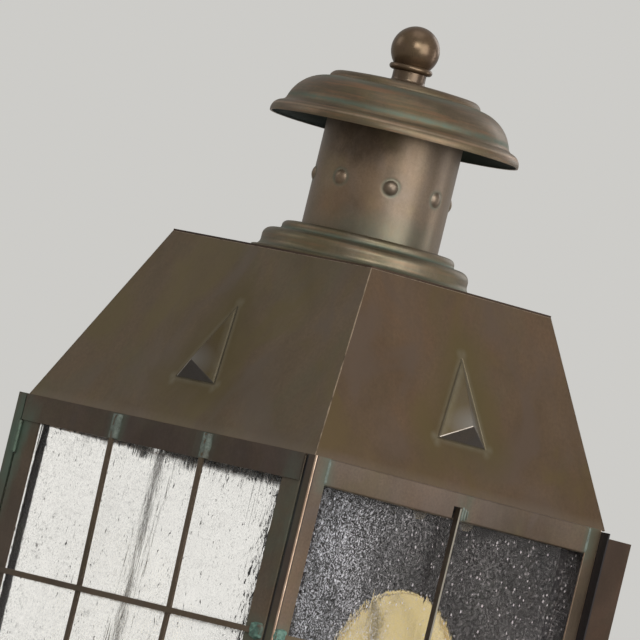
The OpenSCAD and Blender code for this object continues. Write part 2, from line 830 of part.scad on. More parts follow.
// Room for the barrels and the pin heads in the edges of post and door
module hinge_room() {
    spare = hinge_head + 2*pass_gap;
    for (z = hinge_zs) translate([hinge_x, hinge_y, z - spare])
        cylinder(r = hinge_r + pass_gap, h = hinge_l + 2*spare);
}

module knuckle(z, bore) {
    translate([hinge_x, hinge_y, z]) difference() {
        children();
        translate([0, 0, -cut]) cylinder(r = bore, h = knuckle_l + 2*cut);
    }
}

module hinge_fixed_leaves() color(copper) {
    leaf_end = -half_w + sheet_t + pass_gap;
    for (z = hinge_zs) {
        span([leaf_end, leaf_y, z], [hinge_x - hinge_r - 0.4, leaf_y + leaf_t, z + hinge_l]);
        for (k = [0, 2]) knuckle(z + k*(knuckle_l + knuckle_gap), hinge_pin_d/2) union() {
            cylinder(r = hinge_r, h = knuckle_l);
            span([-hinge_r - 1, leaf_y - hinge_y, 0], [0, leaf_y - hinge_y + leaf_t, knuckle_l]);
        }
    }
}

module hinge_door_leaves() color(copper) {
    leaf_end = -door_half + stile_w*0.6;
    for (z = hinge_zs) {
        span([hinge_x + hinge_r + 0.4, leaf_y, z], [leaf_end, leaf_y + leaf_t, z + hinge_l]);
        knuckle(z + knuckle_l + knuckle_gap, hinge_pin_d/2 + run_gap) union() {
            cylinder(r = hinge_r, h = knuckle_l);
            span([0, leaf_y - hinge_y, 0], [hinge_r + 1, leaf_y - hinge_y + leaf_t, knuckle_l]);
        }
    }
}

module hinge_pins() color(brass) {
    for (z = hinge_zs) translate([hinge_x, hinge_y, z]) {
        cylinder(d = hinge_pin_d, h = hinge_l);
        translate([0, 0, -hinge_head]) cylinder(r = hinge_r*0.8, h = hinge_head);
        translate([0, 0, hinge_l]) cylinder(r = hinge_r*0.8, h = hinge_head);
    }
}

// DOOR

door_top = eave_z - sheet_t - pass_gap;

// Right stile: a face with its outer edge folded back
module stile() {
    translate([0, 0, -door_top]) linear_extrude(2*door_top) polygon([
        [door_half, front_y], [door_half, front_y + door_return],
        [door_half - sheet_t, front_y + door_return], [door_half - sheet_t, front_y + sheet_t],
        [door_half - stile_w, front_y + sheet_t], [door_half - stile_w, front_y]]);
}

module door_free_stile() color(copper) stile();

// The fold is cut away where the hinge leaves pass
module door_hinge_stile() color(copper) difference() {
    mirror([1, 0, 0]) stile();
    hinge_room();
    for (z = hinge_zs)
        span([-door_half - cut, leaf_y, z - pass_gap],
             [-door_half + sheet_t, leaf_y + leaf_t + pass_gap, z + hinge_l + pass_gap]);
}

rail_top = eave_z - pass_gap;

module door_top_rail() color(copper)
    span([-door_half, front_y - sheet_t, eave_z - rail_h], [door_half, front_y, rail_top]);

module door_bottom_rail() color(copper) mirror([0, 0, 1]) door_top_rail();

module door_glass() color(clear) {
    side = door_half - sheet_t - 0.6;
    tall = door_top - 2.5;
    span([-side, door_glass_y, -tall], [side, door_glass_y + glass_t, tall]);
}

// Bent tabs on the folded edges that keep the glass in the door
module door_glass_clips() color(copper) {
    t = 0.8;
    reach = 7.5;
    wide = 12;
    y = door_glass_y + glass_t + rest_gap;
    foot_x = door_half - sheet_t;
    both_sides() for (z = [-eave_z*0.62, 0, eave_z*0.62]) {
        span([foot_x - t, y, z - wide/2], [foot_x, front_y + door_return, z + wide/2]);
        span([foot_x - reach, y, z - wide/2], [foot_x - t, y + t, z + wide/2]);
    }
}

// Upright bars: soldered over the rails, then leaning back to lie against the glass
module door_upright_bars() color(copper) {
    proud = front_y - sheet_t - bar_t;
    end = eave_z - 1;
    bend = eave_z - rail_h - 0.3;
    level = row_z(1);
    for (x = [-bar_pitch/2, bar_pitch/2])
        translate([x - bar_w/2, 0, 0]) rotate([90, 0, 90]) linear_extrude(bar_w) polygon([
            [proud, end], [proud, bend], [front_y, level], [front_y, -level], [proud, -bend],
            [proud, -end], [proud + bar_t, -end], [proud + bar_t, -bend],
            [front_y + bar_t, -level], [front_y + bar_t, level], [proud + bar_t, bend],
            [proud + bar_t, end]]);
}

module door_cross_bars() color(copper) {
    reach = door_half - 1;
    for (i = [1:pane_rows - 1]) translate([0, 0, row_z(i) - bar_w/2])
        span([-reach, front_y - bar_t, 0], [reach, front_y, bar_w]);
}

// TURN BUTTON on the right post: it hangs clear of the door and turns across its edge

module button_rivet() color(brass) translate([button_x, front_y, 0]) rotate([90, 0, 0]) {
    stack = pass_gap + button_t + pass_gap;
    translate([0, 0, -sheet_t - 0.8]) cylinder(r = 2.4, h = 0.8);
    translate([0, 0, -sheet_t]) cylinder(r = button_pin_r, h = sheet_t + stack);
    translate([0, 0, stack]) cylinder(r1 = 2.8, r2 = 1.8, h = 1.1);
}

module turn_button() color(copper) {
    tip = button_l - button_w/2;
    narrow = button_w*0.36;
    translate([button_x, front_y - pass_gap, 0]) rotate([90, 0, 0]) difference() {
        union() {
            cylinder(d = button_w, h = button_t);
            linear_extrude(button_t) polygon([
                [-button_w/2, 0], [-narrow, -tip], [narrow, -tip], [button_w/2, 0]]);
            translate([0, -tip, 0]) cylinder(r = narrow, h = button_t);
        }
        translate([0, 0, -cut]) cylinder(r = button_pin_r + run_gap, h = button_t + 2*cut);
    }
}

wall_strap();
strap_studs();
stud_cap_nuts();
wall_pan();
back_panel();
cable_grommet();
terminal_block();
earth_stud();
front_left_post();
front_right_post();
rear_left_post();
rear_right_post();
front_head_rail();
front_sill_rail();
left_top_rail();
right_top_rail();
left_bottom_rail();
right_bottom_rail();
left_glass();
right_glass();
glass_keepers();
glass_pads();
side_upright_bars();
side_cross_bars();
base_plate();
roof_front_panel();
roof_rear_panel();
roof_left_panel();
roof_right_panel();
roof_top_plate();
chimney_collar();
chimney();
cap_bridge();
chimney_cap();
finial();
finial_rod();
finial_nut();
reflector();
reflector_rivets();
lamp_stem();
stem_nuts();
lamp_holder();
lamp_holder_insert();
lamp_cap();
lamp_glass();
lamp_filament();
hinge_fixed_leaves();
hinge_pins();
button_rivet();
door_hinge_stile();
door_free_stile();
door_top_rail();
door_bottom_rail();
door_glass();
door_glass_clips();
door_upright_bars();
door_cross_bars();
hinge_door_leaves();
turn_button();
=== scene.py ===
import bpy
import bmesh
import math
import numpy as np
from mathutils import Matrix, Vector, noise


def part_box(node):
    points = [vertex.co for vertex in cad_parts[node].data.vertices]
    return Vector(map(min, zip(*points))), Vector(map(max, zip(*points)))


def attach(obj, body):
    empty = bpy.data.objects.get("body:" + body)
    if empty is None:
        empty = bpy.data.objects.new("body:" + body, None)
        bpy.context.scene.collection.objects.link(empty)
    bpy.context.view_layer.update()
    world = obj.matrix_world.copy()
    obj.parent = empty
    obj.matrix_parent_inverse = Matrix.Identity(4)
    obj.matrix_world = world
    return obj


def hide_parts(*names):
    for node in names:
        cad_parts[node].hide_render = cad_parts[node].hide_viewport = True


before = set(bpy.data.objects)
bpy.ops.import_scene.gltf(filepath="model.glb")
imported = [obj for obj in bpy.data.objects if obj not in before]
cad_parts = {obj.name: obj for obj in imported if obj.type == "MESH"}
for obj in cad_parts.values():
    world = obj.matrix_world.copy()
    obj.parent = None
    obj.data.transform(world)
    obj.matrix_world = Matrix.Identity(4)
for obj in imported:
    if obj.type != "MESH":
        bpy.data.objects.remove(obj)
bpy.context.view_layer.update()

MM = 0.001


def corners(node):
    """A node's lowest and highest corner in millimetres."""
    return [[v / MM for v in point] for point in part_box(node)]


# Sizes read from the solids
POST_LO, POST_HI = corners("front_right_post")
HALF_W, FRONT, BASE, EAVE = POST_HI[0], POST_LO[1], POST_LO[2], POST_HI[2]
REAR = corners("back_panel")[0][1]
STILE_LO, STILE_HI = corners("door_free_stile")
DOOR_HALF = STILE_HI[0]
ROOF_LO, ROOF_HI = corners("roof_front_panel")
ROOF_W, ROOF_H = ROOF_HI[0] - ROOF_LO[0], ROOF_HI[2] - ROOF_LO[2]
SIDE_LO, SIDE_HI = corners("roof_right_panel")
ROOF_D, ROOF_Y = SIDE_HI[1] - SIDE_LO[1], (SIDE_LO[1] + SIDE_HI[1]) / 2
TOP_HI = corners("roof_top_plate")[1]
INSET, PLATE = ROOF_W / 2 - TOP_HI[0], TOP_HI[2]
CHIM_TOP = corners("chimney")[1][2]
(_, _, CAP_LOW), (CAP_R, _, _) = corners("chimney_cap")
CAP_TOP = corners("finial")[0][2]
COLLAR_R, _, COLLAR_TOP = corners("chimney_collar")[1]
COLLAR_H = COLLAR_TOP - PLATE

# Sizes that no box gives
SHEET = 1.0
REST_GAP = 0.1
CHIM_R = 37.6
EDGE_BAR_D = 3.8
BAR_W = 3.1


# Materials

class Graph:
    """The nodes of a material, or of the world, with short calls for the kinds used here."""

    def __init__(self, name, world=False):
        self.owner = (bpy.data.worlds if world else bpy.data.materials).new(name)
        self.owner.use_nodes = True
        self.tree = self.owner.node_tree
        self.tree.nodes.clear()
        self.out = self.new("ShaderNodeOutputWorld" if world else "ShaderNodeOutputMaterial")
        self.place = self.new("ShaderNodeTexCoord").outputs["Object"]

    def new(self, kind, **values):
        n = self.tree.nodes.new(kind)
        for key, value in values.items():
            setattr(n, key, value)
        return n

    def feed(self, socket, value):
        """Links an output to the socket, or sets the socket's own number or colour."""
        if hasattr(value, "links"):
            self.tree.links.new(value, socket)
        else:
            socket.default_value = (*value, 1) if socket.type == "RGBA" else value

    def call(self, kind, out, inputs, **values):
        """One output of a new node whose inputs are fed by name or number."""
        n = self.new(kind, **values)
        for key, value in inputs.items():
            self.feed(n.inputs[key], value)
        return n.outputs[out]

    def stretch(self, scale, vec=None, shift=(0, 0, 0)):
        inputs = {"Vector": vec or self.place, "Scale": scale, "Location": shift}
        return self.call("ShaderNodeMapping", 0, inputs)

    def noise(self, scale, detail=4.0, rough=0.55, vec=None, warp=0.0):
        inputs = {"Scale": scale, "Detail": detail, "Roughness": rough, "Distortion": warp}
        return self.call("ShaderNodeTexNoise", "Fac", {"Vector": vec or self.place, **inputs})

    def ramp(self, fac, stops):
        n = self.new("ShaderNodeValToRGB")
        e = n.color_ramp.elements
        while len(e) < len(stops):
            e.new(0.5)
        for k, (pos, colour) in enumerate(stops):
            e[k].position = pos
            e[k].color = (*colour, 1)
        self.feed(n.inputs[0], fac)
        return n.outputs[0]

    def step(self, fac, lo, hi, a=0.0, b=1.0):
        """Maps lo to hi onto a to b, and keeps to those ends outside."""
        return self.call("ShaderNodeMapRange", 0, dict(enumerate((fac, lo, hi, a, b))))

    def mix(self, share, a, b):
        return self.call("ShaderNodeMix", 2, {0: share, 6: a, 7: b}, data_type="RGBA")

    def math(self, op, a, b=0.0):
        return self.call("ShaderNodeMath", 0, {0: a, 1: b}, operation=op)

    def times(self, a, b):
        return self.math("MULTIPLY", a, b)

    def attribute(self, name):
        return self.call("ShaderNodeAttribute", "Fac", {}, attribute_name=name)

    def part(self, axis, vec=None):
        """The X, Y or Z of a place."""
        return self.call("ShaderNodeSeparateXYZ", axis, {0: vec or self.place})

    def near(self, value, middle, width):
        """1 where value is at middle, falling to 0 at width away."""
        away = self.math("ABSOLUTE", self.math("SUBTRACT", value, middle))
        return self.step(away, 0.0, width, 1.0, 0.0)

    def spot(self, centre, reach):
        """0 at the middle of an ellipsoid, 1 at its surface and more outside."""
        inside = self.stretch([1 / (r * MM) for r in reach], shift=[-c / r for c, r in zip(centre, reach)])
        return self.call("ShaderNodeVectorMath", "Value", {0: inside}, operation="LENGTH")

    def to_line(self, vec, a, b):
        """Distance from a point to the line between a and b."""
        def op(kind, out, *args):
            return self.call("ShaderNodeVectorMath", out, dict(enumerate(args)), operation=kind)
        ab = Vector(b) - Vector(a)
        pa = op("SUBTRACT", 0, vec, tuple(a))
        share = self.step(op("DOT_PRODUCT", "Value", pa, tuple(ab)), 0.0, ab.length_squared)
        along = self.call("ShaderNodeVectorMath", 0, {0: tuple(ab), "Scale": share}, operation="SCALE")
        return op("LENGTH", "Value", op("SUBTRACT", 0, pa, along))

    def nearest(self, vec, lines):
        """Distance to the nearest of some lines in a sheet's plane, given by their ends in millimetres."""
        away = None
        for a, b in lines:
            d = self.to_line(vec, (a[0] * MM, a[1] * MM, 0), (b[0] * MM, b[1] * MM, 0))
            away = d if away is None else self.math("MINIMUM", away, d)
        return away

    def bump(self, height, strength, distance, normal=None):
        inputs = {"Height": height, "Strength": strength, "Distance": distance}
        if normal:
            inputs["Normal"] = normal
        return self.call("ShaderNodeBump", 0, inputs)

    def shader(self, kind="BsdfPrincipled", **sockets):
        """A shader whose sockets are given in small letters, such as base_color."""
        names = {key.replace("_", " ").title().replace("Ior", "IOR"): value for key, value in sockets.items()}
        return self.call("ShaderNode" + kind, 0, names)

    def blend(self, share, a, b):
        return self.call("ShaderNodeMixShader", 0, {0: share, 1: a, 2: b})

    def done(self, surface):
        self.feed(self.out.inputs["Surface"], surface)
        return self.owner


VERDIGRIS = (0.11, 0.145, 0.11)


def tint(colour, *by):
    """A colour times one number, or times one for each channel."""
    return tuple(c * k for c, k in zip(colour, by if len(by) == 3 else by * 3))


def longer(a, b, more=3.0):
    """The ends a and b of a line, moved outward a little."""
    step = (Vector(b) - Vector(a)).normalized() * more
    return tuple(Vector(a) - step), tuple(Vector(b) + step)


def pressed_lines(g, base, grain, blotch, patchy, creases, peak):
    """Olive and rubbed traces along pressed lines in the sheet's own plane, a painted shade line right in
    each crease, a painted highlight over their peak, and a painted highlight band along the eave.
    """
    sheet = g.call("ShaderNodeTexCoord", "UV", {})
    away = g.nearest(sheet, creases)
    glow = g.nearest(sheet, [longer(a, b) for a, b in creases])
    wide = g.times(g.step(glow, 0.003, 0.021, 0.85, 0), g.step(blotch, 0.3, 0.6, 0.5, 1))
    base = g.mix(wide, base, (0.09, 0.066, 0.024))
    close = g.times(g.step(glow, 0.0004, 0.0036, 0.6, 0), g.step(patchy, 0.3, 0.65, 0.5, 1))
    base = g.mix(close, base, (0.165, 0.145, 0.1))
    # Painted shade: a near-black line right along each crease.
    base = g.mix(g.step(away, 0.0001, 0.0005, 0.6, 0), base, (0.03, 0.024, 0.016))
    grain = g.bump(g.step(away, 0.0, 0.0009), 0.6, 0.0006, grain)
    # Painted highlight: a pale patch over the peak.
    if peak:
        x, y, pale = peak
        top = g.nearest(sheet, [((x, y), (x, y + 1))])
        base = g.mix(g.step(top, 0.001, 0.012, 0.85, 0), base, pale)
    # Painted highlight: a paler band along the bent eave.
    eave_painted_highlight = g.step(g.part("Y", sheet), 0.001, 0.006, 0.3, 0)
    return g.mix(eave_painted_highlight, base, (0.17, 0.135, 0.1)), grain


def patina(name, dark, mid, warm, green=0.05, rough=(0.38, 0.54), metallic=0.64, scale=1.0, shift=0.0,
           hollows=(), creases=(), rubs_and_sheen=(), spots=(), hues=0.3, bands=0.0, peak=None):
    """Brown copper patina: cloudy patches, drips, fine speckle, and verdigris in hollows and round joints.
    hollows are green levels and the rubbed levels bright ones, as (height, width, amount); the bright rubbed
    copper also stands in as a painted highlight. spots are places of another colour, as (middle, reach,
    amount, colour). bands is the strength of streaks round a turned piece. creases are the ends of pressed
    lines, drawn with a painted shade line in each crease and a painted highlight band along the eave, and
    peak is the point they rise to, with the colour of its painted highlight."""
    g = Graph(name)
    where = g.stretch((scale, scale, scale), shift=(shift, shift * 0.7, shift * 1.3))
    cloud = g.noise(11, 5, 0.6, where, 0.6)
    base = g.ramp(cloud, [(0.3, dark), (0.5, mid), (0.68, warm)])
    blotch = g.noise(34, 5, 0.62, g.stretch((1, 1, 0.55), where), 0.8)
    rust = g.noise(19, 4, 0.6, g.stretch((1, 1, 1), where, (3.1, 1.7, 9.3)), 0.5)
    drip = g.noise(90, 4, 0.65, g.stretch((1, 1, 0.09), where))
    speck = g.noise(700, 3, 0.7, where)
    olive = g.noise(26, 5, 0.65, g.stretch((1, 1, 0.6), where, (7.7, 2.2, 4.1)), 1.0)
    tone = g.noise(30, 3, 0.5, g.stretch((1, 1, 0.8), where, (5.3, 8.1, 1.9)), 0.8)
    patchy = g.noise(150, 4, 0.65, g.stretch((1, 1, 0.7), where), 0.6)
    marks = [(blotch, 0.46, 0.72, 0.4, tint(mid, 0.7)),
             (rust, 0.5, 0.75, 0.45, tint(warm, 1.12, 0.92, 0.74)),
             (drip, 0.45, 0.8, 0.3, tint(mid, 1.5)),
             (speck, 0.35, 0.75, 0.35, tint(dark, 0.55)),
             (olive, 0.52, 0.74, 0.25 + green, (0.085, 0.095, 0.05)),
             (tone, 0.52, 0.64, hues, tint(mid, 0.92, 0.98, 1.2)),
             (tone, 0.48, 0.36, hues, tint(mid, 0.97, 1.02, 0.72))]
    if bands:
        turned = g.noise(420, 4, 0.7, g.stretch((0.06, 0.06, 1), where), 0.3)
        marks += [(turned, 0.5, 0.66, bands, tint(warm, 1.25, 0.9, 0.75)),
                  (turned, 0.48, 0.34, bands, tint(mid, 0.6))]
    for mark, lo, hi, amount, colour in marks:
        base = g.mix(g.step(mark, lo, hi, 0, amount), base, colour)
    wet = g.times(g.attribute("stain"), g.step(patchy, 0.3, 0.62, 0.45, 1.0))
    for z, width, amount in hollows:
        level = g.near(g.part("Z"), z * MM, width * MM)
        ragged = g.step(patchy, 0.25, 0.6, amount * 0.35, amount)
        wet = g.math("MAXIMUM", wet, g.times(level, ragged))
    base = g.mix(wet, base, VERDIGRIS)
    for centre, reach, amount, colour in spots:
        away = g.math("ADD", g.spot(centre, reach), g.step(blotch, 0.3, 0.7, -0.3, 0.3))
        inside = g.step(away, 0.5, 1.2, amount, 0)
        base = g.mix(g.times(inside, g.step(patchy, 0.25, 0.6, 0.5, 1)), base, colour)
    # Bright rubbed levels: worn copper that also stands in as a painted highlight.
    for z, width, amount in rubs_and_sheen:
        level = g.near(g.part("Z"), z * MM, width * MM)
        ragged = g.step(patchy, 0.3, 0.6, amount * 0.5, amount)
        base = g.mix(g.times(level, ragged), base, (0.42, 0.31, 0.22))
    matt = g.math("ADD", g.times(cloud, 0.5), g.times(blotch, 0.5))
    matt = g.math("ADD", g.step(matt, 0.35, 0.65, *rough), g.times(wet, 0.2))
    wave = g.bump(g.noise(14, 2, 0.5, where), 0.35, 0.0016)
    dent = g.bump(g.noise(120, 4, 0.6, where), 0.22, 0.0003, wave)
    grain = g.bump(speck, 0.12, 0.00008, dent)
    if creases:
        base, grain = pressed_lines(g, base, grain, blotch, patchy, creases, peak)
    return g.done(g.shader(base_color=base, metallic=metallic, roughness=matt, normal=grain))


def worn(name, bright, dull, cover=1.0):
    """Cut sheet edges: bright copper where rubbed, brown where not. It also makes the painted highlight on
    the pressed ridges and the roof's top edges, mostly dark with painted shade.
    """
    g = Graph(name)
    n = g.noise(160, 4, 0.7, g.stretch((1, 1, 0.35)), 0.4)
    colour = g.ramp(n, [(max(0.05, 0.62 - cover * 0.5), bright), (min(0.95, 0.86 - cover * 0.35), dull)])
    return g.done(g.shader(base_color=colour, metallic=0.9, roughness=g.step(n, 0.3, 0.7, 0.25, 0.5),
                           normal=g.bump(g.noise(900, 2), 0.2, 0.0001)))


def verdigris(name, low, mid, high):
    """Crusty solder and verdigris, browner where the copper around it is clean."""
    g = Graph(name)
    n = g.noise(240, 6, 0.7, None, 0.7)
    fine = g.noise(1500, 4, 0.7)
    colour = g.ramp(n, [(0.3, low), (0.46, mid), (0.62, high), (0.75, (0.085, 0.07, 0.05))])
    colour = g.mix(g.step(fine, 0.5, 0.8, 0, 0.45), colour, tint(high, 1.7))
    edge = g.math("ADD", g.attribute("stain"), g.step(n, 0.3, 0.7, -0.25, 0.25))
    colour = g.mix(g.step(edge, 0.2, 0.6, 1, 0), colour, (0.1, 0.083, 0.06))
    return g.done(g.shader(base_color=colour, metallic=0.15, roughness=g.step(n, 0.3, 0.7, 0.4, 0.75),
                           normal=g.bump(n, 0.6, 0.0006, g.bump(fine, 0.4, 0.0002))))


def plain(name, colour, metallic, rough, grain=300, amount=0.25, depth=0.0001, **more):
    """A simple finish with a slight mottle, from noise in colour, roughness and bump."""
    g = Graph(name)
    n = g.noise(grain, 4, 0.6)
    mottle = g.mix(g.step(n, 0.35, 0.7, 0, amount * 2), colour, tint(colour, 1 - amount))
    return g.done(g.shader(base_color=mottle, metallic=metallic, normal=g.bump(n, 0.15, depth),
                           roughness=g.step(n, 0.3, 0.7, rough * 0.85, rough * 1.15), **more))


def edge_marks(g, look, right, top):
    """Ragged black marks outside the lines right and top of a pane, most of them on the right."""
    across = g.part("X")
    upper = g.step(g.part("Z"), top * MM, (top + 18) * MM)
    upper = g.times(upper, g.step(across, -70 * MM, 30 * MM, 0.35, 1))
    edge = g.math("MAXIMUM", g.step(across, right * MM, (right + 24) * MM, 0, 0.9), upper)
    dash = g.noise(520, 3, 0.75, g.stretch((1, 1, 0.32)), 0.5)
    mark = g.step(g.math("ADD", dash, g.times(edge, 0.16)), 0.665, 0.685)
    return g.blend(mark, look, g.shader(base_color=(0.012, 0.012, 0.012), roughness=0.4))


def seeded_glass(name, wave, streak, grain, seeds, tone, fade=None, rim=None, haze=0.0):
    """Drawn glass with waves, bubbles and fine grit. Lamps shine through it, and it bends the camera's view.
    wave and streak bend the view, grain is the share of grit, seeds that of bubbles, and tone is their
    colour: painted reflection, dark specks standing in for dark things seen through the glass and pale specks
    for glints. fade thins the grit to the rear and warms its tone, as (from, to, least). rim is where dark
    marks start, across and up. haze is the roughness."""
    g = Graph(name)
    drawn = g.noise(45, 3, 0.55, g.stretch((1, 1, 0.12)))
    ripple = g.noise(300, 3, 0.6, g.stretch((1, 1, 0.3)))
    flaw = g.step(g.noise(130, 3, 0.6, g.stretch((1, 1, 0.09), None, (0.13, 0.07, 0.0))), 0.6, 0.72)
    bend = g.bump(drawn, streak, 0.0015, g.bump(ripple, wave, 0.0008, g.bump(flaw, streak, 0.0009)))
    bent, mirror = (g.shader(kind, color=(1, 1, 0.995), ior=1.5, roughness=haze, normal=bend)
                    for kind in ("BsdfRefraction", "BsdfGlass"))
    patch = g.step(g.noise(22, 4, 0.6, g.stretch((1, 1, 0.5)), 1.2), 0.35, 0.65, 0.3, 1)
    if fade:
        near, far, least = fade[0] * MM, fade[1] * MM, fade[2]
        patch = g.times(patch, g.step(g.part("Y"), near, far, 1, least))
        tone = g.mix(g.step(g.part("Y"), near, far), tone, tint(tone, 1, 0.92, 0.86))
    fine = g.step(g.noise(1150, 2, 0.7, g.stretch((1, 1, 0.8)), 0.8), 0.53, 0.61, 0, 1.2 * grain)
    blob = g.step(g.noise(260, 3, 0.7, None, 1.5), 0.6, 0.76, 0, 0.5 * grain)
    grit = g.times(g.math("ADD", fine, blob), patch)
    cell = g.new("ShaderNodeTexVoronoi")
    g.feed(cell.inputs["Vector"], g.stretch((1, 1, 0.7)))
    g.feed(cell.inputs["Scale"], 520)
    chance = g.new("ShaderNodeSeparateColor")
    g.feed(chance.inputs[0], cell.outputs["Color"])
    kept = g.math("GREATER_THAN", chance.outputs[0], 1 - seeds)
    size = g.times(g.step(chance.outputs[0], 1 - seeds, 1.001, 0.14, 0.38), kept)
    inside = g.step(g.math("SUBTRACT", cell.outputs["Distance"], size), -0.14, 0.0, 0.8, 0)
    bubble = g.times(inside, g.step(chance.outputs[1], 0, 1, 0.3, 1))
    cover = g.math("MAXIMUM", grit, g.times(bubble, g.step(patch, 0, 1, 0.5, 1)))
    # The grit and bubbles are opaque specks of tone: painted reflection of what the glass shows.
    seed = g.shader(base_color=tone, roughness=0.3, normal=bend)
    look = g.blend(cover, g.blend(0.35, bent, mirror), seed)
    if rim:
        look = edge_marks(g, look, *rim)
    ray = g.new("ShaderNodeLightPath")
    unseen = g.math("MAXIMUM", ray.outputs["Is Shadow Ray"], ray.outputs["Is Diffuse Ray"])
    return g.done(g.blend(unseen, look, g.shader("BsdfTransparent", color=(0.92, 0.92, 0.92))))


# The pressed triangle in its sheet's plane
TRI_W, TRI_H, TRI_UP, TRI_OUT = 33.0, 46.4, 27.7, 9.5
PEAK_UP = TRI_H * 0.155
APEX, PEAK = (0, TRI_UP + TRI_H), (0, TRI_UP + PEAK_UP)
LEFT, RIGHT = (-TRI_W / 2, TRI_UP), (TRI_W / 2, TRI_UP)
CREASES = [(APEX, LEFT), (APEX, RIGHT), (LEFT, RIGHT)]

# Copper and brass
COPPER = patina("aged_copper", (0.082, 0.06, 0.041), (0.13, 0.096, 0.066), (0.165, 0.122, 0.086))
# A lighter copy of the aged copper for side faces: painted light.
SIDE_LIT_SKIN = patina("side_copper", (0.092, 0.067, 0.048), (0.15, 0.11, 0.08), (0.19, 0.14, 0.105), 0.02)
# A darker copy of the aged copper for the door rails and the post's front leg: painted shade.
DOOR_SHADED_SKIN = patina("door_copper", (0.062, 0.042, 0.033), (0.098, 0.072, 0.052), (0.125, 0.092, 0.068),
                   shift=11.0)
GREY_GREEN = (0.1, 0.115, 0.085)
LEFT_STAIN = [((-HALF_W + 1, FRONT, EAVE - 44), (13, 9, 40), 0.85, GREY_GREEN),
              ((-DOOR_HALF, FRONT, EAVE - 10), (16, 9, 14), 0.5, GREY_GREEN),
              ((-DOOR_HALF - 2, FRONT, EAVE - 28), (9, 9, 26), 0.7, (0.1, 0.16, 0.12))]
STAINED = patina("stained_copper", (0.075, 0.055, 0.037), (0.12, 0.088, 0.06), (0.15, 0.11, 0.078), 0.1,
                 (0.4, 0.56), 0.6, spots=LEFT_STAIN)
# Near-black copper: dark patina and painted shade inside the lantern and in the gaps beside the post and the
# door's stile.
BLACK_PATINA_SHADE = patina("sooty_copper", (0.012, 0.01, 0.011), (0.02, 0.016, 0.017), (0.03, 0.022, 0.021), 0.0,
              (0.5, 0.7), 0.3)
# A darker copy of the copper for parts that lie in shade, such as the wall pan, the plates and the bars on
# edge: painted shade.
DARK_SHADE = patina("dark_copper", (0.035, 0.02, 0.012), (0.06, 0.036, 0.022), (0.09, 0.052, 0.032), 0.0,
              (0.4, 0.6), 0.6, shift=8.0)
ROOF = dict(rough=(0.42, 0.56), metallic=0.6, scale=0.7, hues=0.75)
ROOF_BROWN = (0.095, 0.068, 0.038), (0.113, 0.08, 0.046), (0.132, 0.091, 0.055)
ROOF_FRONT = patina("roof_front_copper", *ROOF_BROWN, shift=2.0, creases=CREASES, **ROOF)
ROOF_REAR = patina("roof_rear_copper", *ROOF_BROWN, shift=6.0, **ROOF)
ROOF_SIDE = patina("roof_side_copper", (0.086, 0.054, 0.029), (0.108, 0.069, 0.039), (0.13, 0.085, 0.052),
                   0.0, shift=4.0, creases=CREASES, **ROOF)
# The pressed copper's peak colour is a painted highlight.
PRESSED = patina("pressed_copper", (0.075, 0.055, 0.038), (0.09, 0.068, 0.05), (0.105, 0.08, 0.06), 0.0,
                 (0.4, 0.5), 0.62, 1.5, 2.0, creases=CREASES, peak=(*PEAK, (0.15, 0.138, 0.12)))
# A darker copy of the pressed copper for the lower facet that faces down: painted shade.
PRESSED_SHADED = patina("pressed_lower_copper", (0.055, 0.045, 0.037), (0.078, 0.066, 0.055),
                     (0.1, 0.086, 0.073), 0.0, (0.4, 0.5), 0.62, 1.5, 2.0)
# The bright level on the lip is rubbed copper and a painted highlight; the green levels are verdigris in the
# cove and step.
CAP_SKIN = patina("cap_copper", (0.11, 0.082, 0.052), (0.16, 0.12, 0.077), (0.2, 0.148, 0.097), 0.08,
                  (0.36, 0.5), 0.7, 1.2, 5.0, rubs_and_sheen=[(CAP_LOW + 4.4, 0.9, 0.55)], bands=0.6,
                  hollows=[(CAP_LOW + 10.4, 2.4, 0.95), (CAP_TOP - 6.5, 2.2, 0.7)])
# The cap's inner side: greenish from verdigris, and very dark as painted shade under the cap.
UNDER_CAP_SHADE = patina("cap_underside", (0.02, 0.03, 0.022), (0.035, 0.05, 0.038), (0.06, 0.075, 0.058), 0.1,
                   (0.5, 0.7), 0.2)
COLLAR_SKIN = patina("collar_copper", (0.11, 0.092, 0.06), (0.155, 0.128, 0.083), (0.19, 0.155, 0.104), 0.1,
                     (0.34, 0.5), 0.7, 1.2, 3.0, bands=0.4,
                     hollows=[(PLATE + COLLAR_H * 0.74, 1.8, 0.9), (PLATE + COLLAR_H * 0.14, 1.8, 0.5)])
CHIM_SPOTS = [((12, ROOF_Y - 36, CHIM_TOP - 22), (24, 24, 14), 0.65, (0.055, 0.036, 0.022)),
              ((6, ROOF_Y - 37, CHIM_TOP - 62), (12, 12, 14), 0.6, (0.19, 0.115, 0.06)),
              ((26, ROOF_Y - 27, CHIM_TOP - 52), (9, 9, 16), 0.5, (0.17, 0.11, 0.062)),
              ((30, ROOF_Y - 20, COLLAR_TOP + 3), (40, 40, 11), 0.6, (0.12, 0.125, 0.09))]
SPUN = patina("spun_copper", (0.1, 0.075, 0.05), (0.2, 0.15, 0.103), (0.255, 0.188, 0.132), 0.05,
              (0.32, 0.44), 0.68, 1.2, 5.0, spots=CHIM_SPOTS)
# Painted shade: darker copper on the finial's foot, neck and bead, under the ball.
FINIAL_NECK_SHADE = ((0, ROOF_Y, CAP_TOP + 2), (12, 12, 8), 0.75, (0.075, 0.058, 0.044))
BALL_SKIN = patina("ball_copper", (0.12, 0.078, 0.048), (0.17, 0.112, 0.072), (0.21, 0.142, 0.092), 0.0,
                   (0.26, 0.38), 0.7, 1.2, 6.0, spots=[FINIAL_NECK_SHADE])
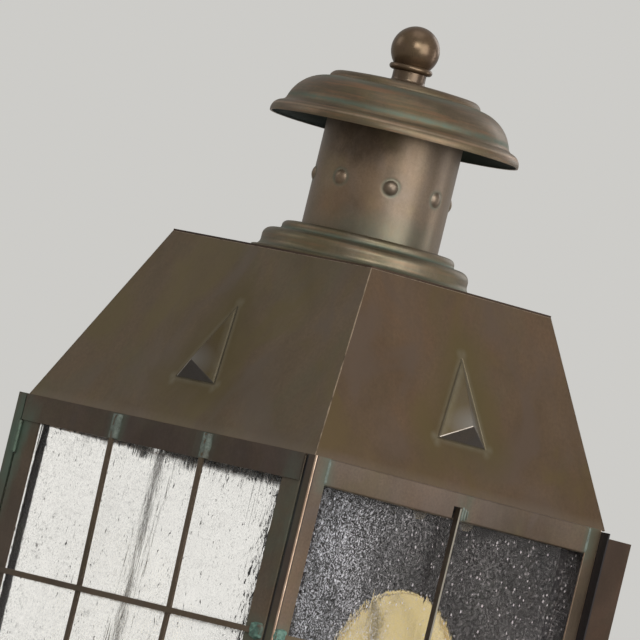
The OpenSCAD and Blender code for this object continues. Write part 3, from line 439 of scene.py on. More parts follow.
# Painted highlight: pale copper on the rounded ridge of each pressed triangle.
RIDGE_HIGHLIGHT = worn("pressed_ridge", (0.55, 0.5, 0.45), (0.3, 0.26, 0.22))
EDGE = worn("worn_edge", (0.86, 0.7, 0.56), (0.4, 0.28, 0.2))
BAR_EDGE = worn("bar_edge", (0.66, 0.62, 0.52), (0.4, 0.37, 0.3))
EDGE_DULL = worn("dull_edge", (0.36, 0.26, 0.18), (0.1, 0.07, 0.048), 0.4)
HIP = worn("hip_edge", (0.4, 0.31, 0.22), (0.09, 0.066, 0.045), 0.5)
# Mostly near-black, broken by bright rubs: painted shade in the gap under the collar, with worn copper.
TOP_EDGE_SHADE = worn("top_edge", (0.3, 0.23, 0.17), (0.03, 0.022, 0.015), 0.3)
GREEN = verdigris("verdigris_blobs", (0.045, 0.07, 0.055), (0.06, 0.135, 0.105), (0.15, 0.25, 0.2))
SEAM_GREEN = verdigris("verdigris_seams", (0.06, 0.068, 0.056), (0.1, 0.122, 0.1), (0.17, 0.2, 0.17))
BRASS = plain("plain_brass", (0.55, 0.4, 0.18), 0.95, 0.32)
POLISHED = plain("polished_brass", (0.77, 0.62, 0.31), 0.95, 0.17, 60, 0.02)

# Glass and the other finishes
# Front panes: dark specks, a painted reflection of dark things seen through them. Side pane: pale specks,
# painted glints.
GLASS_FRONT = seeded_glass("seeded_glass_front", 0.04, 0.08, 0.18, 0.05, (0.2, 0.2, 0.19), rim=(84, 110),
                           haze=0.075)
GLASS_SIDE = seeded_glass("seeded_glass_side", 0.04, 0.07, 0.6, 0.42, (0.74, 0.74, 0.78),
                          fade=(-190, -120, 0.26))
LAMP_GLASS = seeded_glass("lamp_clear_glass", 0.0, 0.0, 0.01, 0.001, (0.8, 0.8, 0.8))
STEEL = plain("zinc_steel", (0.55, 0.55, 0.57), 0.9, 0.4, 180, 0.2)
LAMP_METAL = plain("lamp_metal", (0.7, 0.7, 0.7), 0.95, 0.25)
RUBBER = plain("black_rubber", (0.02, 0.02, 0.021), 0.0, 0.7, 500, 0.3, 0.0002)
CERAMIC = plain("white_ceramic", (0.78, 0.76, 0.7), 0.0, 0.2, 90, 0.06)
PLASTIC = plain("block_plastic", (0.72, 0.71, 0.66), 0.0, 0.45, 200, 0.08)
PAD = plain("clear_pad", (0.3, 0.265, 0.22), 0.0, 0.25, 90, 0.1, transmission_weight=0.6)
PAD_RIM = plain("pad_rim", (0.42, 0.38, 0.31), 0.0, 0.25, 90, 0.1)
FILAMENT = plain("filament", (0.75, 0.6, 0.25), 0.0, 0.5, 90, 0.1)

# Mesh helpers

STAINS = []


def stain_at(p):
    """How green the copper is at a point, from the solder joints and corners nearby."""
    total = 0.0
    for centre, reach, amount in STAINS:
        d = math.sqrt(sum(((a - b) / r) ** 2 for a, b, r in zip(p, centre, reach)))
        if d < 1.6:
            ragged = 0.5 * noise.noise((p[0] * 0.13, p[1] * 0.13, p[2] * 0.09))
            total = max(total, amount * max(0.0, min(1.0, (1.25 - d + ragged) / 0.6)))
    return total


def to_mesh(name, bm):
    """The mesh of a bmesh that is drawn in millimetres."""
    bmesh.ops.scale(bm, vec=(MM, MM, MM), verts=bm.verts)
    me = bpy.data.meshes.new(name)
    bm.to_mesh(me)
    bm.free()
    return me


def add_object(name, data):
    ob = bpy.data.objects.new(name, data)
    bpy.context.scene.collection.objects.link(ob)
    return ob


def build(name, bm, mats, body="lantern", sharp=35.0, replaces=()):
    """Makes the object from a bmesh in millimetres, smooth except at sharp edges."""
    green = [stain_at(v.co) for v in bm.verts]
    bmesh.ops.recalc_face_normals(bm, faces=bm.faces)
    for f in bm.faces:
        f.smooth = True
    for e in bm.edges:
        if len(e.link_faces) == 2 and e.calc_face_angle(0) > math.radians(sharp):
            e.smooth = False
    ob = add_object(name, to_mesh(name, bm))
    ob.data.attributes.new("stain", "FLOAT", "POINT").data.foreach_set("value", green)
    for m in mats:
        ob.data.materials.append(m)
    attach(ob, body)
    if replaces:
        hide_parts(*replaces)
    return ob


def join_rows(bm, rows, loop=False, closed=False, mat=lambda row, column: 0):
    """Faces between rows of points. A row of one point is a pole. loop joins the ends of each row, closed
    joins the last row to the first, and mat gives a face's material from its row and column."""
    rows = [[bm.verts.new(p) for p in row] for row in rows]
    for k, (a, b) in enumerate(zip(rows, rows[1:] + rows[:1] if closed else rows[1:])):
        count = max(len(a), len(b))
        for i in range(count if loop else count - 1):
            j = (i + 1) % count
            corners = [row[n % len(row)] for row, n in ((a, i), (a, j), (b, j), (b, i))]
            bm.faces.new(list(dict.fromkeys(corners))).material_index = mat(k, i)
    return rows


def surface(bm, columns, rows, point):
    """A grid whose points are given by point(u, v), with u and v from -1 to 1."""
    join_rows(bm, [[point(2 * i / columns - 1, 2 * j / rows - 1) for i in range(columns + 1)]
                   for j in range(rows + 1)])


def arc(cx, cy, r, a0, a1, n):
    """Points on a round from a0 to a1 degrees."""
    turns = [math.radians(a0 + (a1 - a0) * i / n) for i in range(n + 1)]
    return [(cx + r * math.cos(a), cy + r * math.sin(a)) for a in turns]


def around(r, a, z):
    """A point round the chimney's axis."""
    return r * math.cos(a), ROOF_Y + r * math.sin(a), z


def spin(name, node, profile, mats, seg, closed=False, wobble=0.0, sharp=35.0, mat=lambda row, column: 0):
    """Turns a profile of (radius, height) round the chimney's axis, out of round by wobble."""
    rows = []
    for r, z in profile:
        ring = []
        for a in (2 * math.pi * i / seg for i in range(seg if r > 0 else 1)):
            rr = r * (1 + wobble * math.sin(2 * a + 1.3) + wobble * 0.6 * math.sin(5 * a + z * 0.1))
            ring.append(around(rr, a, z))
        rows.append(ring)
    bm = bmesh.new()
    join_rows(bm, rows, True, closed, mat)
    build(name, bm, mats, sharp=sharp, replaces=(node,))


def rounded(points, radius, steps=5):
    """The open path with its inner corners rounded, and for each step the leg it lies in, or -1 in a fold."""
    out, legs = [points[0]], []
    for k, (p, q, r) in enumerate(zip(points, points[1:], points[2:])):
        q = Vector(q)
        a, b = (Vector(p) - q).normalized(), (Vector(r) - q).normalized()
        half = a.angle(b) / 2
        c = q + (a + b).normalized() * (radius / math.sin(half))
        s, e = q + a * (radius / math.tan(half)) - c, q + b * (radius / math.tan(half)) - c
        turn = s.angle_signed(e)
        for i in range(steps + 1):
            w = -turn * i / steps
            x, y = s.x * math.cos(w) - s.y * math.sin(w), s.x * math.sin(w) + s.y * math.cos(w)
            out.append(tuple(c + Vector((x, y))))
        legs += [k] + [-1] * steps
    return out + [points[-1]], legs + [len(points) - 2]


def offset_path(points, t):
    """The open path moved to its left by t."""
    legs = [(Vector(b) - Vector(a)).normalized() for a, b in zip(points, points[1:])]
    normals = [Vector((-d.y, d.x)) for d in legs]
    res = []
    for p, a, b in zip(points, normals[:1] + normals, normals + normals[-1:]):
        n = (a + b).normalized()
        res.append(tuple(Vector(p) + n * (t / max(0.2, n.dot(a)))))
    return res


def folded(bm, path, t, place, lo, hi, fold=0.9, skins=(0, 0, 0, 0), worn_fold=1, ends=1):
    """A folded sheet strip: path is the outer line, the sheet lies t to its left, and place(u, v, w) maps to
    space. skins gives the material of each leg. Cut edges take the worn material 1, folds that of worn_fold,
    and the strip's ends that of ends."""
    pitch, chamfer = 4.0, 0.12
    outer, legs = rounded(path, fold)
    inner, in_legs = rounded(offset_path(path, t), max(0.15, fold - abs(t)))

    def pull(a, b):
        return tuple(Vector(a) + (Vector(b) - Vector(a)).normalized() * chamfer)

    o0, i0, o1, i1 = outer[0], inner[0], outer[-1], inner[-1]
    ring = [pull(o0, outer[1]), *outer[1:-1], pull(o1, outer[-2]), pull(o1, i1), pull(i1, o1),
            pull(i1, inner[-2]), *inner[1:-1][::-1], pull(i0, inner[1]), pull(i0, o0), pull(o0, i0)]
    mats = ([worn_fold if k < 0 else skins[k] for k in legs] + [1, 1, 1]
            + [skins[max(k, 0)] for k in in_legs[::-1]] + [1, 1, 1])
    steps = max(1, int(abs(hi - lo) / pitch))
    rows = [[place(u, v, lo + (hi - lo) * k / steps) for u, v in ring] for k in range(steps + 1)]
    rows = join_rows(bm, rows, True, mat=lambda row, column: mats[column])
    for row in (rows[0][::-1], rows[-1]):
        bm.faces.new(row).material_index = ends


def block(bm, lo, hi, chamfer, worn_side):
    """A box whose worn_side, such as '-y', takes material 1."""
    vs = [bm.verts.new((x, y, z)) for x in (lo[0], hi[0]) for y in (lo[1], hi[1]) for z in (lo[2], hi[2])]
    sides = {"-x": (0, 1, 3, 2), "+x": (4, 6, 7, 5), "-y": (0, 4, 5, 1), "+y": (2, 3, 7, 6),
             "-z": (0, 2, 6, 4), "+z": (1, 5, 7, 3)}
    edges = {}
    for side, quad in sides.items():
        f = bm.faces.new([vs[i] for i in quad])
        f.material_index = int(side == worn_side)
        edges.update(dict.fromkeys(f.edges))
    if chamfer:
        bmesh.ops.bevel(bm, geom=list(edges), offset=chamfer, segments=1, affect="EDGES", profile=0.5,
                        material=-1)


def dress(nodes, *mats, bevel=0.0):
    """Gives CAD nodes their materials, and rounds their edges a little with the last of several."""
    for node in nodes:
        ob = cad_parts[node]
        ob.data.materials.clear()
        for m in mats:
            ob.data.materials.append(m)
        if bevel:
            mod = ob.modifiers.new("edge", "BEVEL")
            mod.width = bevel * MM
            mod.segments = 2
            mod.limit_method = "ANGLE"
            mod.angle_limit = math.radians(40)
            if len(mats) > 1:
                mod.material = len(mats) - 1


# Roof

SLOPE, SLOPE_L = math.atan2(ROOF_H, INSET), math.hypot(ROOF_H, INSET)
PRESS_R, RIDGE_REACH, RIDGE_AREA = 0.4, 0.6, 20


def roof_panel(side, w, gap, turn, skin, pressed=True):
    """One roof sheet, solid by its own thickness, with its eave gap away from the middle on turn's side."""
    bm = bmesh.new()
    tilt = Matrix.Translation((0, -gap, 0)) @ Matrix.Rotation(SLOPE, 4, "X")
    place = Matrix.Translation((0, ROOF_Y, EAVE)) @ Matrix.Rotation(turn, 4, "Z") @ tilt
    flat = place.inverted()
    low_l, low_r, top_r, top_l = (-w / 2, 0), (w / 2, 0), (w / 2 - INSET, SLOPE_L), (INSET - w / 2, SLOPE_L)
    peak = (*PEAK, TRI_OUT)
    faces = [(low_l, low_r, top_r, top_l)]
    if pressed:
        faces = [(low_l, low_r, RIGHT, LEFT), (low_r, top_r, APEX, RIGHT), (top_r, top_l, APEX),
                 (top_l, low_l, LEFT, APEX), (APEX, LEFT, peak), (APEX, peak, RIGHT), (LEFT, RIGHT, peak)]
    points = dict.fromkeys(p for face in faces for p in face)
    for p in points:
        points[p] = bm.verts.new(place @ Vector(p).to_3d())
    for face in faces:
        bm.faces.new([points[p] for p in face])
    bmesh.ops.recalc_face_normals(bm, faces=bm.faces)
    bent = [e for e in bm.edges if len(e.link_faces) == 2 and e.calc_face_angle(0) > 0.05]
    if bent:
        bmesh.ops.bevel(bm, geom=bent, offset=PRESS_R, segments=3, affect="EDGES", profile=0.5,
                        clamp_overlap=True)
    start = Vector((*LEFT, 0))
    run = Vector(peak) - start
    inside = Vector((0, ROOF_Y, EAVE + 40))
    for f in bm.faces:
        middle = flat @ f.calc_center_median()
        along = max(0.2, min(1.0, (middle - start).dot(run) / run.length_squared))
        # The rounded ridge from the left corner to the peak takes the painted highlight.
        if (middle - start - run * along).length < RIDGE_REACH and f.calc_area() < RIDGE_AREA:
            f.material_index = 1
        elif middle.z > SHEET * 0.9:
            # The lower facet takes the darker copy, painted shade.
            f.material_index = 3 if middle.y < TRI_UP + PEAK_UP * 0.6 else 2
        if f.normal.dot(f.calc_center_median() - inside) < 0:
            f.normal_flip()
    bmesh.ops.solidify(bm, geom=list(bm.faces), thickness=SHEET)
    uv = bm.loops.layers.uv.new("sheet")
    for f in bm.faces:
        for loop in f.loops:
            loop[uv].uv = (flat @ loop.vert.co).xy * MM
    build("roof_%s_sheet" % side, bm, [skin, RIDGE_HIGHLIGHT, PRESSED, PRESSED_SHADED], sharp=28,
          replaces=("roof_%s_panel" % side,))


def hip_edges():
    """The rubbed mitre edges where the roof sheets meet."""
    bm = bmesh.new()
    reach, lift, steps = 0.42, 0.06, 30
    for sx, sy in ((-1, -1), (-1, 1), (1, -1), (1, 1)):
        low = Vector((sx * ROOF_W / 2, ROOF_Y + sy * ROOF_D / 2, EAVE))
        top = Vector((sx * (ROOF_W / 2 - INSET), ROOF_Y + sy * (ROOF_D / 2 - INSET), EAVE + ROOF_H))
        rows = []
        for k in range(steps + 1):
            p = low.lerp(top, k / steps)
            r = reach * (1 + 0.5 * noise.noise((p.z * 0.09, sx * 3.0, sy * 5.0)))
            rows.append([p + Vector(q) + Vector((sx, sy, 0)) * lift
                         for q in ((0, -sy * r, 0), (0, 0, 0), (-sx * r, 0, 0))])
        join_rows(bm, rows)
    build("roof_hip_edges", bm, [HIP], sharp=180)


def top_edges():
    """The edges round the roof's flat top: painted shade in the gap under the collar, broken by rubbed bright
    copper.
    """
    bm = bmesh.new()
    steps, proud, width = 40, 0.12, 0.45
    high, half_x, half_y = EAVE + ROOF_H - 0.05, ROOF_W / 2 - INSET, ROOF_D / 2 - INSET
    for sx, sy, length in ((0, -1, half_x), (0, 1, half_x), (-1, 0, half_y), (1, 0, half_y)):
        rows = []
        for k in range(steps + 1):
            u = (2 * k / steps - 1) * (length - 0.5)
            x, y = (u, sy * (half_y + proud)) if sy else (sx * (half_x + proud), u)
            rows.append([(x, ROOF_Y + y, z) for z in (high, high - width)])
        join_rows(bm, rows)
    build("roof_top_edges", bm, [TOP_EDGE_SHADE], sharp=180)


roof_panel("front", ROOF_W, ROOF_Y - ROOF_LO[1], 0, ROOF_FRONT)
roof_panel("right", ROOF_D, ROOF_W / 2, math.pi / 2, ROOF_SIDE)
roof_panel("left", ROOF_D, ROOF_W / 2, -math.pi / 2, ROOF_SIDE)
roof_panel("rear", ROOF_W, ROOF_Y - ROOF_LO[1], math.pi, ROOF_REAR, pressed=False)
hip_edges()
top_edges()

# Chimney stack

PROFILE_SEG = 192
OUT_OF_ROUND = 0.0006
LIP_R, COVE_R, LIP_LOW = 6.0, 4.0, 10


def hollow_at(p, p_r, q, q_r, r):
    """Middle of the hollow arc of radius r that touches two rounds from outside."""
    p, q = Vector(p), Vector(q)
    d = (q - p).length
    along = ((p_r + r) ** 2 - (q_r + r) ** 2 + d * d) / (2 * d)
    off = math.sqrt((p_r + r) ** 2 - along * along)
    u = (q - p) / d
    return p + u * along + Vector((-u.y, u.x)) * off


def angle_to(p, q):
    return math.degrees(math.atan2(q[1] - p[1], q[0] - p[0]))


def cap_profile(t):
    """The spun cap's line, t inside its skin: flat crown, step, dome, cove and rolled lip."""
    h = CAP_TOP - CAP_LOW
    dome_r = h * 0.72
    dome = (CAP_R - h * 0.21 - dome_r, CAP_LOW + h * 0.107)
    lip = (CAP_R - LIP_R, CAP_LOW + LIP_R * math.sin(math.radians(LIP_LOW)))
    cove = hollow_at(dome, dome_r, lip, LIP_R, COVE_R)
    disc_r, crown, step_r = dome[0] + h * 0.06, h * 0.05, h * 0.155
    return ([(disc_r * 0.35, CAP_TOP - crown * 0.15 - t), (disc_r * 0.7, CAP_TOP - crown / 2 - t)]
            + arc(disc_r - step_r, CAP_TOP - crown - step_r, step_r - t, 88, 14, 8)
            + arc(*dome, dome_r - t, 82, angle_to(dome, cove), 16)
            + arc(*cove, COVE_R + t, 180 + angle_to(dome, cove), 180 + angle_to(lip, cove), 8)
            + arc(*lip, LIP_R - t, angle_to(lip, cove), -LIP_LOW, 12))


def cap():
    outer, inner = cap_profile(0), cap_profile(SHEET)
    rim = len(outer)
    # Inside the cap takes the very dark copy: painted shade under the brim.
    spin("cap_shell", "chimney_cap", [(0, CAP_TOP), *outer, *inner[::-1], (0, CAP_TOP - SHEET)],
         [CAP_SKIN, EDGE_DULL, UNDER_CAP_SHADE], PROFILE_SEG, wobble=OUT_OF_ROUND,
         mat=lambda row, column: int(row >= rim) + int(row > rim))


def collar():
    """The stepped collar: two coves that each end in a round."""
    out = COLLAR_R - CHIM_R
    cove1, cove2, rnd1, rnd2 = COLLAR_H * 0.2, COLLAR_H * 0.12, COLLAR_H * 0.28, COLLAR_H * 0.17
    foot, mid = PLATE + 1.5 * SHEET, PLATE + COLLAR_H * 0.7
    r1, r2, nip = COLLAR_R - out * 0.19, CHIM_R + out * 0.42, 0.3
    line = [(CHIM_R, PLATE), (COLLAR_R - nip, PLATE), (COLLAR_R, PLATE + nip), (COLLAR_R, foot - nip),
            (COLLAR_R - nip, foot), *arc(r1 + cove1, foot + cove1, cove1, 270, 180, 8),
            *arc(r1 - rnd1, mid - rnd1, rnd1, 0, 90, 10), *arc(r2 + cove2, mid + cove2, cove2, 270, 180, 7),
            *arc(r2 - rnd2, COLLAR_TOP - rnd2, rnd2, 0, 90, 10), (CHIM_R, COLLAR_TOP)]
    spin("collar_shell", "chimney_collar", line, [COLLAR_SKIN], PROFILE_SEG, True, OUT_OF_ROUND)


# The chimney's bosses: number, share of the height, turn of the first in degrees, radius and rise
BOSSES, BOSS_AT, BOSS_TURN, BOSS_R, BOSS_OUT = 8, 0.503, 12.9, 3.9, 1.4
# The groove round each, as radius and depth, and half the band of fine rows
GROOVE_R, GROOVE, BAND = 4.7, 0.12, 6.4


def chimney_tube():
    """The chimney with its pressed bosses, raised from a fine grid."""
    seg, rim = 480, 0.25
    boss_z = PLATE + (CHIM_TOP - PLATE) * BOSS_AT
    levels = [*np.linspace(PLATE, boss_z - BAND - 0.6, 10), *np.linspace(boss_z - BAND, boss_z + BAND, 28),
              *np.linspace(boss_z + BAND + 0.6, CHIM_TOP - rim, 8), CHIM_TOP]
    first, pitch = math.radians(-90 + BOSS_TURN), 2 * math.pi / BOSSES
    turns = [2 * math.pi * i / seg for i in range(seg)]
    rows, greens = [], []
    for z in levels:
        ring = []
        for a in turns:
            d = (a - first + pitch / 2) % pitch - pitch / 2
            q = math.hypot(d * CHIM_R, z - boss_z)
            boss = BOSS_OUT * max(0.0, 1 - (q / BOSS_R) ** 2) ** 0.9
            groove = GROOVE * math.exp(-((q - GROOVE_R) / 0.8) ** 2)
            r = CHIM_R + boss - groove - (rim if z == CHIM_TOP else 0)
            ring.append(around(r, a, z))
            greens.append(0.55 * math.exp(-((q - GROOVE_R + 0.1) / 0.9) ** 2))
        rows.append(ring)
    rows += [[around(CHIM_R - SHEET, a, z) for a in turns] for z in (CHIM_TOP, CHIM_TOP - 1, PLATE)]
    bm = bmesh.new()
    join_rows(bm, rows, True, True, lambda row, column: int(row == len(levels) - 1))
    tube = build("chimney_tube", bm, [SPUN, EDGE], replaces=("chimney",), sharp=50)
    for k, green in enumerate(greens):
        tube.data.attributes["stain"].data[k].value = green


def finial():
    """Foot, neck, bead and ball in one turned piece."""
    ball_r, _, top = corners("finial")[1]
    ball_z = top - ball_r - CAP_TOP
    bead_z, bead_r, bead_out, neck_r, flare_r = 8.2, 1.7, ball_r * 0.9, ball_r * 0.69, 2.2
    ball_low = math.degrees(math.asin(min(1, (ball_z - bead_z - bead_r) / ball_r)))
    line = [(3.0, 0), (neck_r + flare_r * 0.5, 0), *arc(neck_r + flare_r, flare_r, flare_r, 240, 180, 6),
            (neck_r, bead_z - bead_r - 0.3), *arc(bead_out - bead_r, bead_z, bead_r, -80, 80, 12),
            (ball_r * math.cos(math.radians(ball_low)) - 0.3, bead_z + bead_r + 0.05),
            *arc(0, ball_z, ball_r, -ball_low, 90, 26)[:-1], (0, ball_z + ball_r)]
    spin("finial_turning", "finial", [(r, z + CAP_TOP) for r, z in line], [BALL_SKIN], 96, sharp=40)


cap()
collar()
chimney_tube()
finial()

# Posts, rails and stiles

POST_BACK, REAR_POST_Y = POST_HI[1], corners("rear_right_post")[0][1]
BAR_X = corners("door_upright_bars")[1][0] - BAR_W / 2
EDGE_BAR_LO, EDGE_BAR_HI = corners("side_upright_bars")
BAR_BACK = EDGE_BAR_HI[1]
RAIL_LO, RAIL_HI = corners("right_top_rail")
RAIL_LOW = RAIL_LO[2]
NOTCH_W, NOTCH_UP = 5.8, 7
ROWS = [RAIL_LOW * (1 - 2 * k / 3) for k in (1, 2)]
BOTH = (-1, 1)

# Where the copper has gone green: middle, reach and amount. The roof and the stack, made before, have none.
STAINS += [((-DOOR_HALF + 3, FRONT, EAVE - 34), (13, 6, 26), 0.9),
           ((-HALF_W, FRONT, EAVE - 30), (6, 8, 30), 0.9),
           ((DOOR_HALF - 7, FRONT, EAVE - 36), (9, 6, 40), 0.5)]
STAINS += [((sx * BAR_X, FRONT, sz * (EAVE - 7)), (8, 5, 11), 0.7) for sx in BOTH for sz in BOTH]
STAINS += [((sx * (DOOR_HALF - 8), FRONT, z), (10, 5, 9), 0.7) for sx in BOTH for z in ROWS]
STAINS += [((sx * HALF_W, y, sz * (EAVE - 8)), (5, reach, 11), amount) for sx in BOTH for sz in BOTH
           for y, reach, amount in ((POST_BACK, 4, 0.7), (REAR_POST_Y, 4, 0.7), (BAR_BACK + 2.4, 3.4, 0.6))]
STAINS += [((sx * HALF_W, y, z), (5, 7, 7), 0.6) for sx in BOTH for z in ROWS for y in (FRONT + 5, REAR - 5)]


def upright(name, node, path, lo, hi, body="lantern", mats=(COPPER, EDGE, DARK_SHADE), **more):
    """A folded sheet that stands up. path is its outer line, seen from above."""
    bm = bmesh.new()
    folded(bm, path, SHEET, lambda u, v, w: (u, v, w), lo, hi, **more)
    build(name, bm, mats, body, replaces=(node,))


def front_right_shadow_lines():
    """Painted shadow: the two near-black lines beside the front right post's fold, where the gaps lie in
    shade.
    """
    bm = bmesh.new()
    for ends in (((HALF_W + 0.03, FRONT + 1.15), (HALF_W + 0.03, FRONT + 1.5)),
                 ((POST_LO[0] + 0.02, FRONT - 0.03), (POST_LO[0] + 0.75, FRONT - 0.03))):
        join_rows(bm, [[(x, y, z) for x, y in ends] for z in (BASE + 1, EAVE - 0.2)])
    build("front_right_shadow_lines", bm, [BLACK_PATINA_SHADE])


def side_rail(node, sx, sz):
    """A side rail: flange, face and return, with the notch for the bar on edge."""
    bm = bmesh.new()
    face = [(RAIL_LO[0], EAVE), (HALF_W, EAVE)]
    full = face + [(HALF_W, RAIL_LOW), (corners("right_glass")[1][0] + REST_GAP, RAIL_LOW)]
    short = face + [(HALF_W, RAIL_LOW + NOTCH_UP)]
    notch = BAR_BACK - NOTCH_W
    for path, lo, hi in ((full, RAIL_LO[1], notch), (short, notch, BAR_BACK), (full, BAR_BACK, RAIL_HI[1])):
        folded(bm, path, -SHEET, lambda u, v, w: (u * sx, w, v * sz), lo, hi, fold=1.0, worn_fold=0, ends=0)
    # The side rails take the lighter copy: painted light.
    build(node + "_sheet", bm, [SIDE_LIT_SKIN, EDGE_DULL], replaces=(node,))


def door_rail(node, worn_side, pieces=60):
    """A door rail in short lengths, so that the green at its ends can fade."""
    bm = bmesh.new()
    lo, hi = corners(node)
    for k in range(pieces):
        x0, x1 = (lo[0] + (hi[0] - lo[0]) * (k + j) / pieces for j in (0, 1))
        block(bm, (x0, *lo[1:]), (x1, *hi[1:]), 0, worn_side)
    bmesh.ops.remove_doubles(bm, verts=bm.verts, dist=0.001)
    inside = [f for f in bm.faces if abs(f.normal.x) > 0.9
              and lo[0] + 0.1 < f.calc_center_median().x < hi[0] - 0.1]
    bmesh.ops.delete(bm, geom=inside, context="FACES_ONLY")
    # The door rails take the darker copy: painted shade.
    build(node + "_sheet", bm, [DOOR_SHADED_SKIN, EDGE_DULL], "door", replaces=(node,))


def side_upright_bars():
    """The bars that stand on edge in the side panes, darkened as painted shade, with their bright outer
    edges.
    """
    bm = bmesh.new()
    for sx, worn_side in ((1, "+x"), (-1, "-x")):
        x0, x1 = sorted((sx * (HALF_W - EDGE_BAR_D), sx * HALF_W))
        block(bm, (x0, *EDGE_BAR_LO[1:]), (x1, *EDGE_BAR_HI[1:]), 0.1, worn_side)
    build("side_upright_bar_strips", bm, [DARK_SHADE, BAR_EDGE], replaces=("side_upright_bars",))


# The post's front leg takes the darker copy and its side leg the lighter one: painted shade and painted
# light.
upright("front_right_corner", "front_right_post",
        [(POST_LO[0], FRONT), (HALF_W, FRONT), (HALF_W, POST_BACK)], BASE, EAVE,
        skins=(3, 0), fold=0.85, mats=(SIDE_LIT_SKIN, EDGE, DARK_SHADE, DOOR_SHADED_SKIN))
front_right_shadow_lines()
for sx, side in ((1, "right"), (-1, "left")):
    line = [(sx * HALF_W, REAR_POST_Y), (sx * HALF_W, REAR), (sx * (HALF_W - REAR + REAR_POST_Y), REAR)]
    upright("rear_%s_corner" % side, "rear_%s_post" % side, line[::sx], BASE, EAVE)
# The stile's return takes the near-black copper: painted shade in the gap beside the post.
upright("door_free_stile_sheet", "door_free_stile",
        [(STILE_LO[0], FRONT), (DOOR_HALF, FRONT), (DOOR_HALF, STILE_HI[1])], -STILE_HI[2], STILE_HI[2],
        "door", (COPPER, EDGE, BLACK_PATINA_SHADE), skins=(0, 2), worn_fold=0)
for sz, level in ((1, "top"), (-1, "bottom")):
    for sx, side in ((1, "right"), (-1, "left")):
        side_rail("%s_%s_rail" % (side, level), sx, sz)
door_rail("door_top_rail", "-z")
door_rail("door_bottom_rail", "+z")
side_upright_bars()

# CAD nodes that stay
dress(["front_left_post", "door_hinge_stile"], STAINED, EDGE_DULL, bevel=0.12)
dress(["door_upright_bars", "door_cross_bars", "side_cross_bars"], COPPER, EDGE_DULL, bevel=0.25)
dress(["front_head_rail", "front_sill_rail", "door_glass_clips", "turn_button", "cap_bridge"],
      COPPER, EDGE_DULL, bevel=0.1)
dress(["hinge_fixed_leaves", "hinge_door_leaves", "hinge_pins"], STAINED, bevel=0.1)
# The back panel is near-black: dark patina and painted shade inside the lantern.
dress(["back_panel"], BLACK_PATINA_SHADE, EDGE, bevel=0.42)
# The wall pan takes the darker copy: painted shade.
dress(["wall_pan"], DARK_SHADE, EDGE_DULL, bevel=0.15)
dress(["stud_cap_nuts", "earth_stud", "finial_rod", "finial_nut", "reflector_rivets", "lamp_stem",
       "stem_nuts", "lamp_holder", "button_rivet"], BRASS)
dress(["glass_pads"], PAD, PAD_RIM, bevel=0.5)
dress(["wall_strap", "strap_studs"], STEEL)
dress(["door_glass", "left_glass"], GLASS_FRONT)
# The keepers take the near-black copper and the top and base plates the darker copy: painted shade.
for node, mat in {"right_glass": GLASS_SIDE, "lamp_glass": LAMP_GLASS, "lamp_cap": LAMP_METAL,
                  "lamp_filament": FILAMENT, "lamp_holder_insert": CERAMIC, "reflector": POLISHED,
                  "cable_grommet": RUBBER, "terminal_block": PLASTIC, "glass_keepers": BLACK_PATINA_SHADE,
                  "roof_top_plate": DARK_SHADE, "base_plate": DARK_SHADE}.items():
    dress([node], mat)


# Solder patches

def solder_pad(bm, at, axis, w, h, t, seed):
    """A low pad of solder with an uneven outline, lying on the face whose outward normal is axis."""
    up, normal = Vector((0, 0, 1)), Vector(axis)
    side = up.cross(normal).normalized()

    def point(u, v):
        reach = 1 + 0.16 * noise.noise((u * 1.4 + seed, v * 1.4, 0.5 * seed))
        reach *= 1 - 0.2 * u * u * v * v
        wave = 0.95 + 0.3 * noise.noise((u * 2.5, v * 2.5, seed))
        lift = t * (1 - max(abs(u), abs(v)) ** 7) * wave - 0.05
        lift += 0.12 * t * math.exp(-((math.hypot(u + 0.2, v) - 0.42) / 0.13) ** 2)
        return Vector(at) + side * (u * w / 2 * reach) + up * (v * h / 2 * reach) + normal * lift

    surface(bm, 14, 14, point)


def solder_over_bar(bm, x, z0, z1, seed):
    """Solder over the end of an upright bar on the door's rail: two ridges beside the bar."""
    half, bar = 5.2, corners("door_upright_bars")[0][1] - (FRONT - SHEET)

    def point(u, v):
        z = z0 + (z1 - z0) * (v + 1) / 2
        reach = half * (0.9 + 0.25 * noise.noise((z * 0.22, seed, 2.0 * (u > 0))))
        w = abs(u) * reach
        body = -bar * max(0.0, min(1.0, (3.4 - w) / 1.6)) + 0.45 * math.exp(-((w - 2.1) / 0.8) ** 2)
        lift = body * (0.92 + 0.18 * noise.noise((u * 3, z * 0.4, seed))) + 0.12 - 0.2 * abs(u) ** 6
        return x + u * reach, FRONT - SHEET - lift, z

    surface(bm, 18, 24, point)


bm = bmesh.new()
for sz in (1, -1):
    for sx in BOTH:
        solder_over_bar(bm, sx * BAR_X, sz * (EAVE - 14), sz * (EAVE - 0.8), 4.0 + sx + 2 * sz)
build("door_bar_solder", bm, [SEAM_GREEN], "door")

bm = bmesh.new()
proud = FRONT - corners("door_cross_bars")[0][1] + 0.6
for k, z in enumerate(ROWS):
    for sx in BOTH:
        solder_pad(bm, (sx * (DOOR_HALF - 5.3), FRONT, z), (0, -1, 0), 10.4, 9, proud, 3.3 * k + sx)
build("door_solder", bm, [GREEN], "door")

